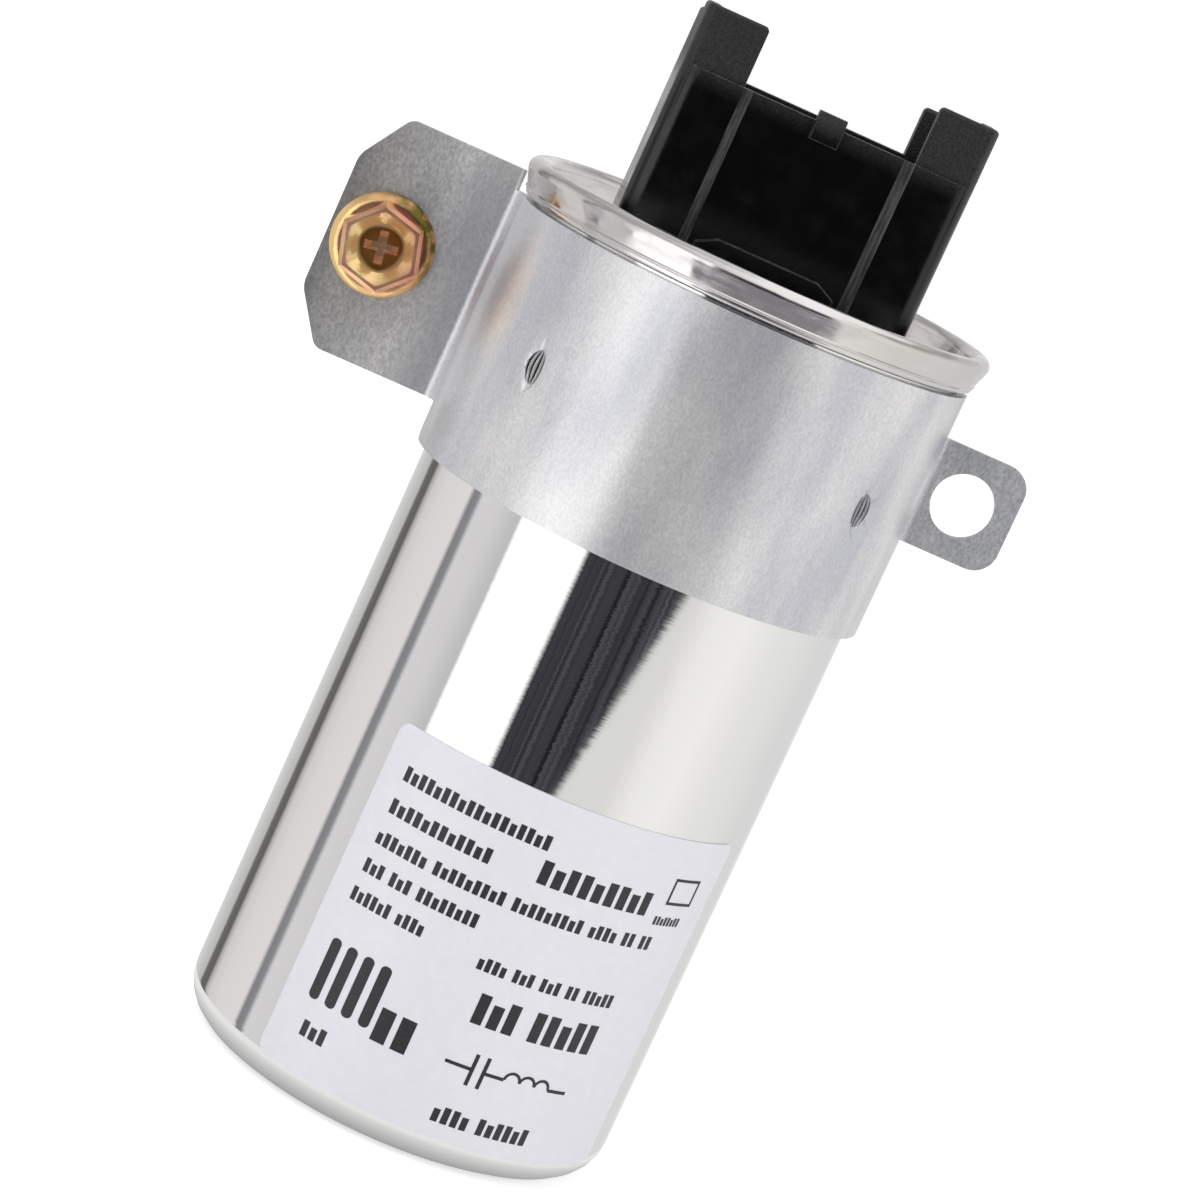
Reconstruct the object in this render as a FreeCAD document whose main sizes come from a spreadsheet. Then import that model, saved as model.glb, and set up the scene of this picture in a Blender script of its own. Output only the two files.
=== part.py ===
"""Motor run capacitor: drawn aluminium can, double-seamed cover, plug socket and clamp bracket.

The frame stands on the base of the can: +Z runs up the can, -Y faces the front of the bracket,
and the origin is the centre of the base. Every length is in millimetres.
"""
import FreeCAD, Part
import math
import os

import Sketcher

# Driving sizes, each with its own cell in the sheet
SIZES = {
    # Can
    "can_radius": 22.5,
    "can_wall": 0.4,
    "can_floor": 0.7,
    "can_corner": 4.0,
    # Double seam and cover
    "seam_depth": 3.7,
    "seam_flare": 0.69,
    "cover_sheet": 0.35,
    "seam_gap": 0.05,
    "deck_depth": 5.6,
    "deck_corner": 1.2,
    # Plug socket
    "socket_length": 30.4,
    "socket_width": 13.6,
    "socket_wall": 1.6,
    "socket_floor": 2.0,
    "socket_corner": 2.0,
    "wall_height": 19.9,
    "front_prong_height": 25.95,
    "rear_prong_height": 25.0,
    "prong_gap": 17.9,
    "prong_setback": 0.35,
    "panel_width": 15.9,
    "panel_recess": 0.9,
    "nub_width": 2.85,
    "nub_rise": 1.05,
    "nub_drop": 1.8,
    "nub_reach": 1.1,
    "boss_width": 14.4,
    "boss_height": 5.8,
    "boss_reach": 0.8,
    "boss_bevel": 2.0,
    # Terminals
    "terminal_pitch": 16.0,
    "blade_width": 6.3,
    "blade_sheet": 0.8,
    "blade_rise": 12.0,
    "blade_foot": 8.6,
    "blade_offset": 3.2,
    "blade_hole_radius": 0.8,
    "blade_tip": 1.0,
    "rivet_radius": 1.6,
    "rivet_head_radius": 2.7,
    "rivet_head": 1.1,
    "rivet_flange_radius": 3.4,
    "rivet_flange": 1.0,
    "rivet_tail": 2.2,
    "bush_radius": 3.9,
    "bush_flange_radius": 5.8,
    "bush_flange": 1.8,
    "seal_ring": 1.05,
    "hole_clearance": 0.1,
    # Film roll
    "roll_radius": 20.4,
    "roll_height": 50.0,
    "core_radius": 5.0,
    "core_bore_radius": 3.4,
    "core_proud": 0.6,
    "spray": 0.5,
    "wrap": 0.4,
    "wrap_proud": 1.2,
    "snug_fit": 0.05,
    # Base insulator
    "base_sheet": 1.0,
    "base_rim_height": 7.0,
    "base_rim_wall": 0.4,
    "base_rib_height": 1.9,
    "base_rib_width": 1.4,
    "base_rib_inner": 7.0,
    "base_rib_outer": 17.0,
    # Choke
    "bobbin_foot": 2.0,
    "bobbin_flange": 1.0,
    "bobbin_radius": 19.0,
    "hub_radius": 11.0,
    "hub_bore_radius": 9.0,
    "coil_radius": 15.3,
    "coil_height": 12.0,
    "notch_width": 1.8,
    # Interrupter cap
    "cap_sheet": 1.5,
    "cap_skirt": 4.5,
    "cap_skirt_wall": 1.2,
    "cap_hole_radius": 1.0,
    # Leads
    "lead_radius": 0.6,
    "lead_bend": 1.5,
    "lead_reach": 14.0,
    "lead_room": 2.5,
    # Clamp bracket
    "bracket_sheet": 1.0,
    "bracket_fit": 0.06,
    "band_drop": 0.35,
    "band_height": 25.65,
    "band_corner": 3.5,
    "flange_offset": 2.5,
    "bend_radius": 1.3,
    "tab_lift": 3.55,
    "tab_height": 24.2,
    "tab_reach": 39.7,
    "tab_bevel_width": 3.4,
    "tab_bevel_height": 5.2,
    "tab_wrap": 18.0,
    "ear_lift": 9.45,
    "ear_height": 11.15,
    "ear_reach": 33.8,
    "ear_corner": 2.5,
    "ear_hole_radius": 3.25,
    "ear_hole_reach": 28.5,
    "stake_angle": 45.5,
    "stake_lift": 12.85,
    "stake_height": 3.2,
    "stake_width": 1.3,
    "stake_dent": 0.7,
    "stake_spread": 1.9,
    # Mounting screw
    "screw_reach": 34.2,
    "screw_drop": 0.2,
    "screw_hole_radius": 2.6,
    "thread_radius": 2.4,
    "thread_length": 12.0,
    "thread_taper": 1.6,
    "neck_radius": 2.1,
    "neck_length": 1.2,
    "washer_radius": 5.2,
    "washer_rim": 0.7,
    "washer_crown": 1.3,
    "hexagon_flats": 7.8,
    "hexagon_height": 4.4,
    "hexagon_turn": 45.5,
    "cross_turn": 9.5,
    "hexagon_chamfer": 0.45,
    "dish_radius": 3.3,
    "dish_depth": 0.9,
    "pocket_radius": 2.15,
    "pocket_depth": 0.6,
    "cross_length": 3.5,
    "cross_width": 0.9,
    "cross_depth": 1.2,
    # Label
    "label_bottom": 3.3,
    "label_height": 35.4,
    "label_angle": 102.6,
    "label_turn": 11.5,
    "label_film": 0.1,
    "label_gap": 0.02,
    "label_corner": 1.2,
}


class Size:
    """A length from the sheet: its number, and the formula that ties a feature to the sheet."""

    def __init__(self, value, formula):
        self.value = value
        self.formula = formula

    def __add__(self, other):
        other = as_size(other)
        return Size(self.value + other.value, f"({self.formula} + {other.formula})")

    def __sub__(self, other):
        other = as_size(other)
        return Size(self.value - other.value, f"({self.formula} - {other.formula})")

    def __mul__(self, other):
        other = as_size(other)
        return Size(self.value * other.value, f"({self.formula} * {other.formula})")

    def __truediv__(self, other):
        other = as_size(other)
        return Size(self.value / other.value, f"({self.formula} / {other.formula})")

    def __neg__(self):
        return Size(-self.value, f"(0 - {self.formula})")

    def cosine(self):
        return Size(math.cos(math.radians(self.value)), f"cos({self.formula})")

    def sine(self):
        return Size(math.sin(math.radians(self.value)), f"sin({self.formula})")

    def root(self):
        return Size(math.sqrt(self.value), f"sqrt({self.formula})")


def as_size(number):
    if isinstance(number, Size):
        return number
    return Size(float(number), f"({float(number)})")


ZERO = as_size(0)

doc = FreeCAD.newDocument("motor_run_capacitor")
sheet = doc.addObject("Spreadsheet::Sheet", "Sizes")
for row, (word, number) in enumerate(SIZES.items(), start=1):
    sheet.set(f"A{row}", word)
    sheet.set(f"B{row}", str(number))
    sheet.setAlias(f"B{row}", word)
doc.recompute()

size = {word: Size(number, f"Sizes.{word}") for word, number in SIZES.items()}


def new_body(label):
    body = doc.addObject("PartDesign::Body", label)
    body.Label = label
    return body


def origin_item(body, role):
    for item in body.Origin.OriginFeatures:
        if item.Role == role:
            return item
    raise ValueError(f"no {role} in {body.Label}")


def new_sketch(body, name, plane, lift=ZERO, turn=None):
    """Open a sketch on a plane of the body's origin, lifted along its normal and turned about Z."""
    sketch = body.newObject("Sketcher::SketchObject", f"{body.Label}_{name}")
    sketch.AttachmentSupport = [(origin_item(body, plane), "")]
    sketch.MapMode = "FlatFace"
    sketch.setExpression("AttachmentOffset.Base.z", lift.formula)
    if turn is not None:
        sketch.AttachmentOffset = FreeCAD.Placement(FreeCAD.Vector(), FreeCAD.Vector(0, 1, 0), turn.value)
        sketch.setExpression("AttachmentOffset.Rotation.Angle", turn.formula)
        sketch.setExpression("AttachmentOffset.Base.z", None)
    return sketch


def pin_point(sketch, edge, end, across, up):
    """Hold one end of an edge at its place, on the axis where a coordinate is nought."""
    for name, axis, length in (("DistanceX", -2, across), ("DistanceY", -1, up)):
        if length is ZERO:
            sketch.addConstraint(Sketcher.Constraint("PointOnObject", edge, end, axis))
        else:
            index = sketch.addConstraint(Sketcher.Constraint(name, -1, 1, edge, end, length.value))
            sketch.setExpression(f"Constraints[{index}]", length.formula)


def arc_through(start, end, radius, turns_left):
    """The short arc of a radius from start to end, which turns left or right on its way."""
    chord = end - start
    half = chord.Length / 2
    inward = FreeCAD.Vector(-chord.y, chord.x, 0).normalize()
    if not turns_left:
        inward = -inward
    centre = (start + end) / 2 + inward * math.sqrt(max(radius * radius - half * half, 0))
    first = math.atan2(start.y - centre.y, start.x - centre.x)
    last = math.atan2(end.y - centre.y, end.x - centre.x)
    if not turns_left:
        first, last = last, first
    circle = Part.Circle(centre, FreeCAD.Vector(0, 0, 1), radius)
    return Part.ArcOfCircle(circle, first, last)


def spread_corners(corners):
    """Turn each rounded square corner into its two tangent points."""
    points = []
    for index, corner in enumerate(corners):
        if len(corner) == 2:
            points.append((corner[0], corner[1], None, True))
        elif len(corner) == 4:
            points.append(corner)
        else:
            before = corners[index - 1]
            after = corners[(index + 1) % len(corners)]
            across, up, radius = corner
            arrive_x = math.copysign(1, across.value - before[0].value)
            arrive_y = math.copysign(1, up.value - before[1].value)
            leave_x = math.copysign(1, after[0].value - across.value)
            leave_y = math.copysign(1, after[1].value - up.value)
            if abs(across.value - before[0].value) > abs(up.value - before[1].value):
                points.append((across - radius * arrive_x, up, None, True))
                points.append((across, up + radius * leave_y, radius, arrive_x * leave_y > 0))
            else:
                points.append((across, up - radius * arrive_y, None, True))
                points.append((across + radius * leave_x, up, radius, arrive_y * leave_x < 0))
    return points


def add_outline(sketch, corners, closed=True):
    """Draw a closed outline, or an open route.

    A corner is (x, y), or (x, y, radius) where a square corner is rounded, or
    (x, y, radius, turns_left) where the edge that arrives there is an arc.
    """
    points = spread_corners(corners)
    first = sketch.GeometryCount
    runs = list(zip(points, points[1:]))
    if closed:
        runs.append((points[-1], points[0]))
    ends = []
    for here, there in runs:
        start = FreeCAD.Vector(here[0].value, here[1].value, 0)
        end = FreeCAD.Vector(there[0].value, there[1].value, 0)
        if there[2] is None:
            sketch.addGeometry(Part.LineSegment(start, end), False)
            ends.append((1, 2))
        else:
            sketch.addGeometry(arc_through(start, end, there[2].value, there[3]), False)
            ends.append((1, 2) if there[3] else (2, 1))
    for index in range(len(runs) if closed else len(runs) - 1):
        following = (index + 1) % len(runs)
        sketch.addConstraint(Sketcher.Constraint("Coincident", first + index, ends[index][1],
                                                 first + following, ends[following][0]))
    for index, (here, there) in enumerate(runs):
        pin_point(sketch, first + index, ends[index][0], here[0], here[1])
        if there[2] is not None:
            held = sketch.addConstraint(Sketcher.Constraint("Radius", first + index, there[2].value))
            sketch.setExpression(f"Constraints[{held}]", there[2].formula)
    if not closed:
        pin_point(sketch, first + len(runs) - 1, ends[-1][1], points[-1][0], points[-1][1])


def add_circle(sketch, across, up, radius):
    centre = FreeCAD.Vector(across.value, up.value, 0)
    circle = sketch.addGeometry(Part.Circle(centre, FreeCAD.Vector(0, 0, 1), radius.value), False)
    pin_point(sketch, circle, 3, across, up)
    held = sketch.addConstraint(Sketcher.Constraint("Radius", circle, radius.value))
    sketch.setExpression(f"Constraints[{held}]", radius.formula)


def add_rectangle(sketch, left, bottom, right, top):
    add_outline(sketch, [(left, bottom), (right, bottom), (right, top), (left, top)])


def raise_pad(body, sketch, length, reverse=False):
    pad = body.newObject("PartDesign::Pad", f"{sketch.Name}_pad")
    pad.Profile = sketch
    pad.setExpression("Length", as_size(length).formula)
    pad.Reversed = reverse
    sketch.Visibility = False
    return pad


def cut_pocket(body, sketch, length, reverse=False, both_ways=False):
    """Cut a sketch to a depth, and check that it took something away."""
    doc.recompute()
    before = body.Shape.Volume
    pocket = body.newObject("PartDesign::Pocket", f"{sketch.Name}_pocket")
    pocket.Profile = sketch
    pocket.setExpression("Length", as_size(length).formula)
    pocket.Reversed = reverse
    pocket.Midplane = both_ways
    doc.recompute()
    if body.Shape.Volume > before - 1e-3:
        raise ValueError(f"{sketch.Name} cuts nothing")
    return pocket


def revolve(body, sketch, groove=False):
    kind = "PartDesign::Groove" if groove else "PartDesign::Revolution"
    turned = body.newObject(kind, f"{sketch.Name}_turned")
    turned.Profile = sketch
    turned.ReferenceAxis = (sketch, ["V_Axis"])
    turned.Angle = 360
    return turned


def place(body, across=ZERO, back=ZERO, up=ZERO):
    for letter, length in (("x", across), ("y", back), ("z", up)):
        body.setExpression(f"Placement.Base.{letter}", length.formula)


# Levels and radii that several pieces share
can_inside = size["can_radius"] - size["can_wall"]
sheet_and_gap = size["cover_sheet"] + size["seam_gap"]
cover_outside = can_inside - size["seam_gap"]
hook_inside = size["can_radius"] + sheet_and_gap + size["seam_gap"]
hook_outside = hook_inside + size["can_wall"]
seam_foot = hook_outside + sheet_and_gap
flare = size["seam_flare"]
seam_radius = seam_foot + flare
fold_inside = size["can_radius"] + size["seam_gap"]
fold = (seam_foot - fold_inside) / 2
lip_bend = (hook_outside - can_inside) / 2
lip_middle = can_inside + lip_bend + flare
crown = lip_bend + sheet_and_gap
diagonal = as_size(45).sine()
half_pitch = size["terminal_pitch"] / 2
floor_inside = size["can_floor"]
base_top = floor_inside + size["base_sheet"]
spray_bottom = base_top + size["base_rib_height"]
roll_bottom = spray_bottom + size["spray"]
roll_top = roll_bottom + size["roll_height"]
spray_top = roll_top + size["spray"]
bobbin_bottom = spray_top + size["bobbin_foot"]
coil_bottom = bobbin_bottom + size["bobbin_flange"]
coil_top = coil_bottom + size["coil_height"]
bobbin_top = coil_top + size["bobbin_flange"]
cap_under = bobbin_top + size["cap_skirt"]
cap_top = cap_under + size["cap_sheet"]
tail_bottom = cap_top + size["lead_room"]
bush_bottom = tail_bottom + size["rivet_tail"] + size["rivet_flange"]
bush_top = bush_bottom + size["bush_flange"]
deck_under = bush_top + size["seal_ring"]
deck_top = deck_under + size["cover_sheet"]
socket_inside = deck_top + size["socket_floor"]
seam_top = deck_top + size["deck_depth"]
seam_bottom = seam_top - size["seam_depth"]
fold_level = seam_bottom + fold
bend_level = seam_top - crown
lip_top = bend_level + lip_bend
band_top = seam_bottom - size["band_drop"]
band_bottom = band_top - size["band_height"]
tab_bottom = band_bottom + size["tab_lift"]
tab_top = tab_bottom + size["tab_height"]
screw_level = (tab_bottom + tab_top) / 2 - size["screw_drop"]


def make_can():
    """Drawn shell: flat base, rounded foot, straight wall, and a flared lip turned out and down."""
    body = new_body("can")
    sketch = new_sketch(body, "profile", "XZ_Plane")
    outer = size["can_radius"]
    wall = size["can_wall"]
    inner_bend = lip_bend - wall
    corner = size["can_corner"]
    inner_slant = inner_bend * diagonal
    slant = lip_bend * diagonal
    inner_corner = corner - wall
    cut_corner = inner_corner * diagonal
    add_outline(sketch, [
        (ZERO, ZERO), (outer - corner, ZERO), (outer, corner, corner, True), (outer, fold_level),
        (outer + flare, bend_level),
        (lip_middle - inner_slant, bend_level + inner_slant), (lip_middle, bend_level + inner_bend),
        (lip_middle + inner_slant, bend_level + inner_slant), (hook_inside + flare, bend_level),
        (hook_inside, fold_level), (hook_outside, fold_level), (hook_outside + flare, bend_level),
        (lip_middle + slant, bend_level + slant), (lip_middle, lip_top),
        (lip_middle - slant, bend_level + slant), (can_inside + flare, bend_level),
        (can_inside, fold_level), (can_inside, floor_inside + inner_corner),
        (outer - corner + cut_corner, floor_inside + inner_corner - cut_corner),
        (outer - corner, floor_inside), (ZERO, floor_inside)])
    revolve(body, sketch)
    return body


def make_cover():
    """Drawn end: flat deck, chuck wall, and a flared rim folded over and under the lip of the can."""
    body = new_body("cover")
    sketch = new_sketch(body, "profile", "XZ_Plane")
    sheet_size = size["cover_sheet"]
    inside = cover_outside - sheet_size
    corner = size["deck_corner"]
    fold_outside = hook_inside - size["seam_gap"]
    outer_inside = hook_outside + size["seam_gap"]
    inner_fold = fold - sheet_size
    inner_crown = crown - sheet_size
    middle = fold_inside + fold
    hook_rise = inner_crown - size["can_wall"]
    hook_share = (bend_level - hook_rise - fold_level) / (bend_level - fold_level)
    hook_flare = flare * hook_share
    hook_top = bend_level - hook_rise
    slant = inner_fold * diagonal
    outer_slant = fold * diagonal
    crown_slant = inner_crown * diagonal
    cut_corner = corner * diagonal
    under_corner = corner + sheet_size
    under_cut = under_corner * diagonal
    add_outline(sketch, [
        (ZERO, deck_under), (cover_outside - under_corner, deck_under),
        (cover_outside - under_corner + under_cut, deck_under + under_corner - under_cut),
        (cover_outside, deck_under + under_corner), (cover_outside, fold_level),
        (cover_outside + flare, bend_level), (lip_middle - crown_slant, bend_level + crown_slant),
        (lip_middle, bend_level + inner_crown), (lip_middle + crown_slant, bend_level + crown_slant),
        (outer_inside + flare, bend_level), (outer_inside, fold_level),
        (middle + slant, fold_level - slant), (middle, fold_level - inner_fold),
        (middle - slant, fold_level - slant), (fold_outside, fold_level),
        (fold_outside + hook_flare, hook_top), (fold_inside + hook_flare, hook_top),
        (fold_inside, fold_level), (middle - outer_slant, fold_level - outer_slant),
        (middle, seam_bottom), (seam_foot, fold_level, fold, True), (seam_radius, bend_level),
        (lip_middle, seam_top, crown, True), (inside + flare, bend_level, crown, True),
        (inside, fold_level), (inside, deck_top + corner),
        (inside - corner + cut_corner, deck_top + corner - cut_corner),
        (inside - corner, deck_top), (ZERO, deck_top)])
    revolve(body, sketch)
    holes = new_sketch(body, "terminal_holes", "XY_Plane", deck_top)
    for side in (-1, 1):
        add_circle(holes, half_pitch * side, ZERO, size["bush_radius"] + size["hole_clearance"])
    cut_pocket(body, holes, size["cover_sheet"])
    return body


def make_seam_seal():
    """Sealing compound in the fold, under the end of the lip."""
    body = new_body("seam_seal")
    sketch = new_sketch(body, "profile", "XZ_Plane")
    half = size["can_wall"] / 2
    middle = hook_inside + half
    low = fold_level - half * 0.8
    add_outline(sketch, [(hook_inside, fold_level), (middle - half * 0.6, low),
                         (middle + half * 0.6, low), (hook_outside, fold_level)])
    revolve(body, sketch)
    return body


def add_box_cut(body, name, level, left, front, right, rear, height):
    """Cut a box out of a body, upwards from a level."""
    sketch = new_sketch(body, name, "XY_Plane", level)
    add_rectangle(sketch, left, front, right, rear)
    return cut_pocket(body, sketch, height, reverse=True)


def make_connector_housing():
    """Moulded plug socket: a rounded open box with low front and rear walls and guide prongs."""
    body = new_body("connector_housing")
    half = size["socket_length"] / 2
    deep = size["socket_width"] / 2
    wall = size["socket_wall"]
    corner = size["socket_corner"]
    gap = size["prong_gap"] / 2
    wall_top = deck_top + size["wall_height"]
    past_prongs = size["front_prong_height"] + size["rear_prong_height"]

    front_half = new_sketch(body, "front_half", "XY_Plane", deck_top)
    add_outline(front_half, [(-half, -deep, corner), (half, -deep, corner), (half, ZERO), (-half, ZERO)])
    raise_pad(body, front_half, size["front_prong_height"])
    rear_half = new_sketch(body, "rear_half", "XY_Plane", deck_top)
    add_outline(rear_half, [(-half, ZERO), (half, ZERO), (half, deep, corner), (-half, deep, corner)])
    raise_pad(body, rear_half, size["rear_prong_height"])

    well = new_sketch(body, "well", "XY_Plane", socket_inside)
    well_corner = corner - wall
    add_outline(well, [(-half + wall, -deep + wall, well_corner), (half - wall, -deep + wall, well_corner),
                       (half - wall, deep - wall, well_corner), (-half + wall, deep - wall, well_corner)])
    cut_pocket(body, well, past_prongs, reverse=True)

    add_box_cut(body, "prong_gap", wall_top, -gap, -deep * 2, gap, deep * 2, past_prongs)
    add_box_cut(body, "prong_faces", wall_top, -half * 2, -deep * 2, half * 2,
                -deep + size["prong_setback"], past_prongs)

    panel = size["panel_width"] / 2
    recess = size["panel_recess"]
    face = new_sketch(body, "front_panel", "XY_Plane", wall_top)
    add_outline(face, [(-panel - recess, -deep - recess), (panel + recess, -deep - recess),
                       (panel + recess, -deep), (panel, -deep + recess),
                       (-panel, -deep + recess), (-panel - recess, -deep)])
    cut_pocket(body, face, size["wall_height"])

    half_boss = size["boss_width"] / 2
    bevel = size["boss_bevel"]
    boss_top = deck_top + size["boss_height"]
    boss = new_sketch(body, "front_boss", "XZ_Plane", deep - recess)
    add_outline(boss, [(-half_boss, deck_top), (half_boss, deck_top), (half_boss, boss_top - bevel / 2),
                       (half_boss - bevel, boss_top), (-half_boss + bevel, boss_top),
                       (-half_boss, boss_top - bevel / 2)])
    raise_pad(body, boss, size["boss_reach"])

    half_nub = size["nub_width"] / 2
    nub = new_sketch(body, "catch_nub", "YZ_Plane", -half_nub)
    nub_face = -deep + recess
    nub_end = nub_face - size["nub_reach"]
    nub_back = nub_face + wall - recess
    add_outline(nub, [(nub_back, wall_top), (nub_back, wall_top + size["nub_rise"]),
                      (nub_face - size["nub_reach"] / 2, wall_top + size["nub_rise"]),
                      (nub_end, wall_top), (nub_end, wall_top - size["nub_drop"]),
                      (nub_face, wall_top - size["nub_drop"]), (nub_face, wall_top)])
    raise_pad(body, nub, size["nub_width"])

    holes = new_sketch(body, "rivet_holes", "XY_Plane", socket_inside)
    for side in (-1, 1):
        add_circle(holes, half_pitch * side, ZERO, size["rivet_radius"] + size["hole_clearance"])
    cut_pocket(body, holes, size["socket_floor"])
    return body


def make_terminal_blade(side, word):
    """Tinned blade: a foot riveted to the socket floor, bent up into a flat plug tab."""
    body = new_body(f"terminal_blade_{word}")
    sheet_size = size["blade_sheet"]
    rear = size["blade_offset"] + sheet_size
    front = rear - size["blade_foot"]
    bend = sheet_size * 1.5
    inner = bend - sheet_size
    profile = new_sketch(body, "profile", "YZ_Plane", -size["blade_width"] / 2)
    add_outline(profile, [(front, ZERO), (rear, ZERO, bend), (rear, sheet_size + size["blade_rise"]),
                          (rear - sheet_size, sheet_size + size["blade_rise"]),
                          (rear - sheet_size, sheet_size, inner), (front, sheet_size)])
    raise_pad(body, profile, size["blade_width"])
    tip = size["blade_tip"]
    half = size["blade_width"] / 2
    top = sheet_size + size["blade_rise"]
    corners = new_sketch(body, "tip", "XZ_Plane", -rear)
    for way in (-1, 1):
        add_outline(corners, [((half - tip) * way, top), (half * way, top - tip * 2), (half * way, top)])
    add_circle(corners, ZERO, top - tip * 4, size["blade_hole_radius"])
    cut_pocket(body, corners, sheet_size, reverse=True)
    hole = new_sketch(body, "rivet_hole", "XY_Plane", sheet_size)
    add_circle(hole, ZERO, ZERO, size["rivet_radius"] + size["hole_clearance"])
    cut_pocket(body, hole, sheet_size)
    place(body, half_pitch * side, ZERO, socket_inside)
    return body


def make_terminal_rivet(side, word):
    """Headed rivet from the blade's foot through socket, cover, seal and bush to its tail."""
    body = new_body(f"terminal_rivet_{word}")
    sketch = new_sketch(body, "profile", "XZ_Plane")
    shank = size["rivet_radius"]
    head = size["rivet_head_radius"]
    flange = size["rivet_flange_radius"]
    head_bottom = socket_inside + size["blade_sheet"]
    head_top = head_bottom + size["rivet_head"]
    dome = size["rivet_head"] / 2
    tail = shank / 2
    add_outline(sketch, [
        (ZERO, tail_bottom), (tail, tail_bottom), (tail, tail_bottom + size["rivet_tail"]),
        (flange, tail_bottom + size["rivet_tail"]), (flange, bush_bottom), (shank, bush_bottom),
        (shank, head_bottom), (head, head_bottom), (head, head_top - dome),
        (head - dome, head_top), (ZERO, head_top)])
    revolve(body, sketch)
    place(body, half_pitch * side)
    return body


def make_insulator_bush(side, word):
    """Shouldered moulded bush that keeps the rivet off the cover."""
    body = new_body(f"insulator_bush_{word}")
    sketch = new_sketch(body, "profile", "XZ_Plane")
    bore = size["rivet_radius"] + size["hole_clearance"]
    add_outline(sketch, [
        (bore, bush_bottom), (size["bush_flange_radius"], bush_bottom),
        (size["bush_flange_radius"], bush_top), (size["bush_radius"], bush_top),
        (size["bush_radius"], deck_top), (bore, deck_top)])
    revolve(body, sketch)
    place(body, half_pitch * side)
    return body


def make_terminal_seal(side, word):
    """Rubber ring squeezed between the bush and the underside of the cover."""
    body = new_body(f"terminal_seal_{word}")
    sketch = new_sketch(body, "profile", "XZ_Plane")
    bore = size["bush_radius"] + size["hole_clearance"]
    add_rectangle(sketch, bore, bush_top, size["bush_flange_radius"], deck_under)
    revolve(body, sketch)
    place(body, half_pitch * side)
    return body


def make_ring(label, inside, outside, bottom, top):
    """A plain turned ring."""
    body = new_body(label)
    sketch = new_sketch(body, "profile", "XZ_Plane")
    add_rectangle(sketch, inside, bottom, outside, top)
    revolve(body, sketch)
    return body


def make_base_insulator():
    """Moulded cup on the can's floor, with ribs that hold the roll clear of the lower lead."""
    body = new_body("base_insulator")
    sketch = new_sketch(body, "profile", "XZ_Plane")
    centre = size["can_radius"] - size["can_corner"]
    corner_top = floor_inside + size["can_corner"] - size["can_wall"]
    outside = can_inside - size["snug_fit"]
    inside = outside - size["base_rim_wall"]
    slant = (outside - centre) * diagonal
    inner_slant = (inside - centre) * diagonal
    top = floor_inside + size["base_rim_height"]
    add_outline(sketch, [
        (ZERO, floor_inside), (centre, floor_inside), (centre + slant, corner_top - slant),
        (outside, corner_top), (outside, top), (inside, top), (inside, corner_top),
        (centre + inner_slant, corner_top - inner_slant), (centre, base_top), (ZERO, base_top)])
    revolve(body, sketch)
    ribs = new_sketch(body, "ribs", "XY_Plane", base_top)
    half = size["base_rib_width"] / 2
    add_rectangle(ribs, size["base_rib_inner"], -half, size["base_rib_outer"], half)
    rib = raise_pad(body, ribs, size["base_rib_height"])
    doc.recompute()
    pattern = body.newObject("PartDesign::PolarPattern", "base_insulator_rib_pattern")
    pattern.Originals = [rib]
    pattern.Axis = (origin_item(body, "Z_Axis"), [""])
    pattern.Angle = 360
    pattern.Occurrences = 5
    body.Tip = pattern
    return body


def make_choke_bobbin():
    """Moulded bobbin: hub, two flanges notched for the leads, and feet on the roll."""
    body = new_body("choke_bobbin")
    sketch = new_sketch(body, "profile", "XZ_Plane")
    bore = size["hub_bore_radius"]
    hub = size["hub_radius"]
    rim = size["bobbin_radius"]
    add_outline(sketch, [
        (bore, bobbin_bottom), (rim, bobbin_bottom), (rim, coil_bottom), (hub, coil_bottom),
        (hub, coil_top), (rim, coil_top), (rim, bobbin_top), (bore, bobbin_top)])
    revolve(body, sketch)
    foot = new_sketch(body, "foot", "XY_Plane", spray_top)
    half = size["notch_width"]
    add_rectangle(foot, -hub - half * 2, -half, -hub, half)
    lug = raise_pad(body, foot, size["bobbin_foot"])
    doc.recompute()
    pattern = body.newObject("PartDesign::PolarPattern", "choke_bobbin_feet")
    pattern.Originals = [lug]
    pattern.Axis = (origin_item(body, "Z_Axis"), [""])
    pattern.Angle = 360
    pattern.Occurrences = 3
    body.Tip = pattern
    notch = size["notch_width"] / 2
    add_box_cut(body, "lead_notch", bobbin_bottom, size["coil_radius"], -notch,
                rim * 2, notch, bobbin_top - bobbin_bottom)
    return body


def make_interrupter_cap():
    """Moulded cap on the bobbin whose plate holds the leads, so that a bulging cover breaks them."""
    body = new_body("interrupter_cap")
    sketch = new_sketch(body, "profile", "XZ_Plane")
    rim = size["bobbin_radius"]
    inside = rim - size["cap_skirt_wall"]
    add_outline(sketch, [(ZERO, cap_under), (inside, cap_under), (inside, bobbin_top),
                         (rim, bobbin_top), (rim, cap_top), (ZERO, cap_top)])
    revolve(body, sketch)
    holes = new_sketch(body, "lead_holes", "XY_Plane", cap_top)
    for side in (-1, 1):
        add_circle(holes, half_pitch * side, ZERO, size["cap_hole_radius"])
    cut_pocket(body, holes, size["cap_sheet"])
    return body


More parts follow.
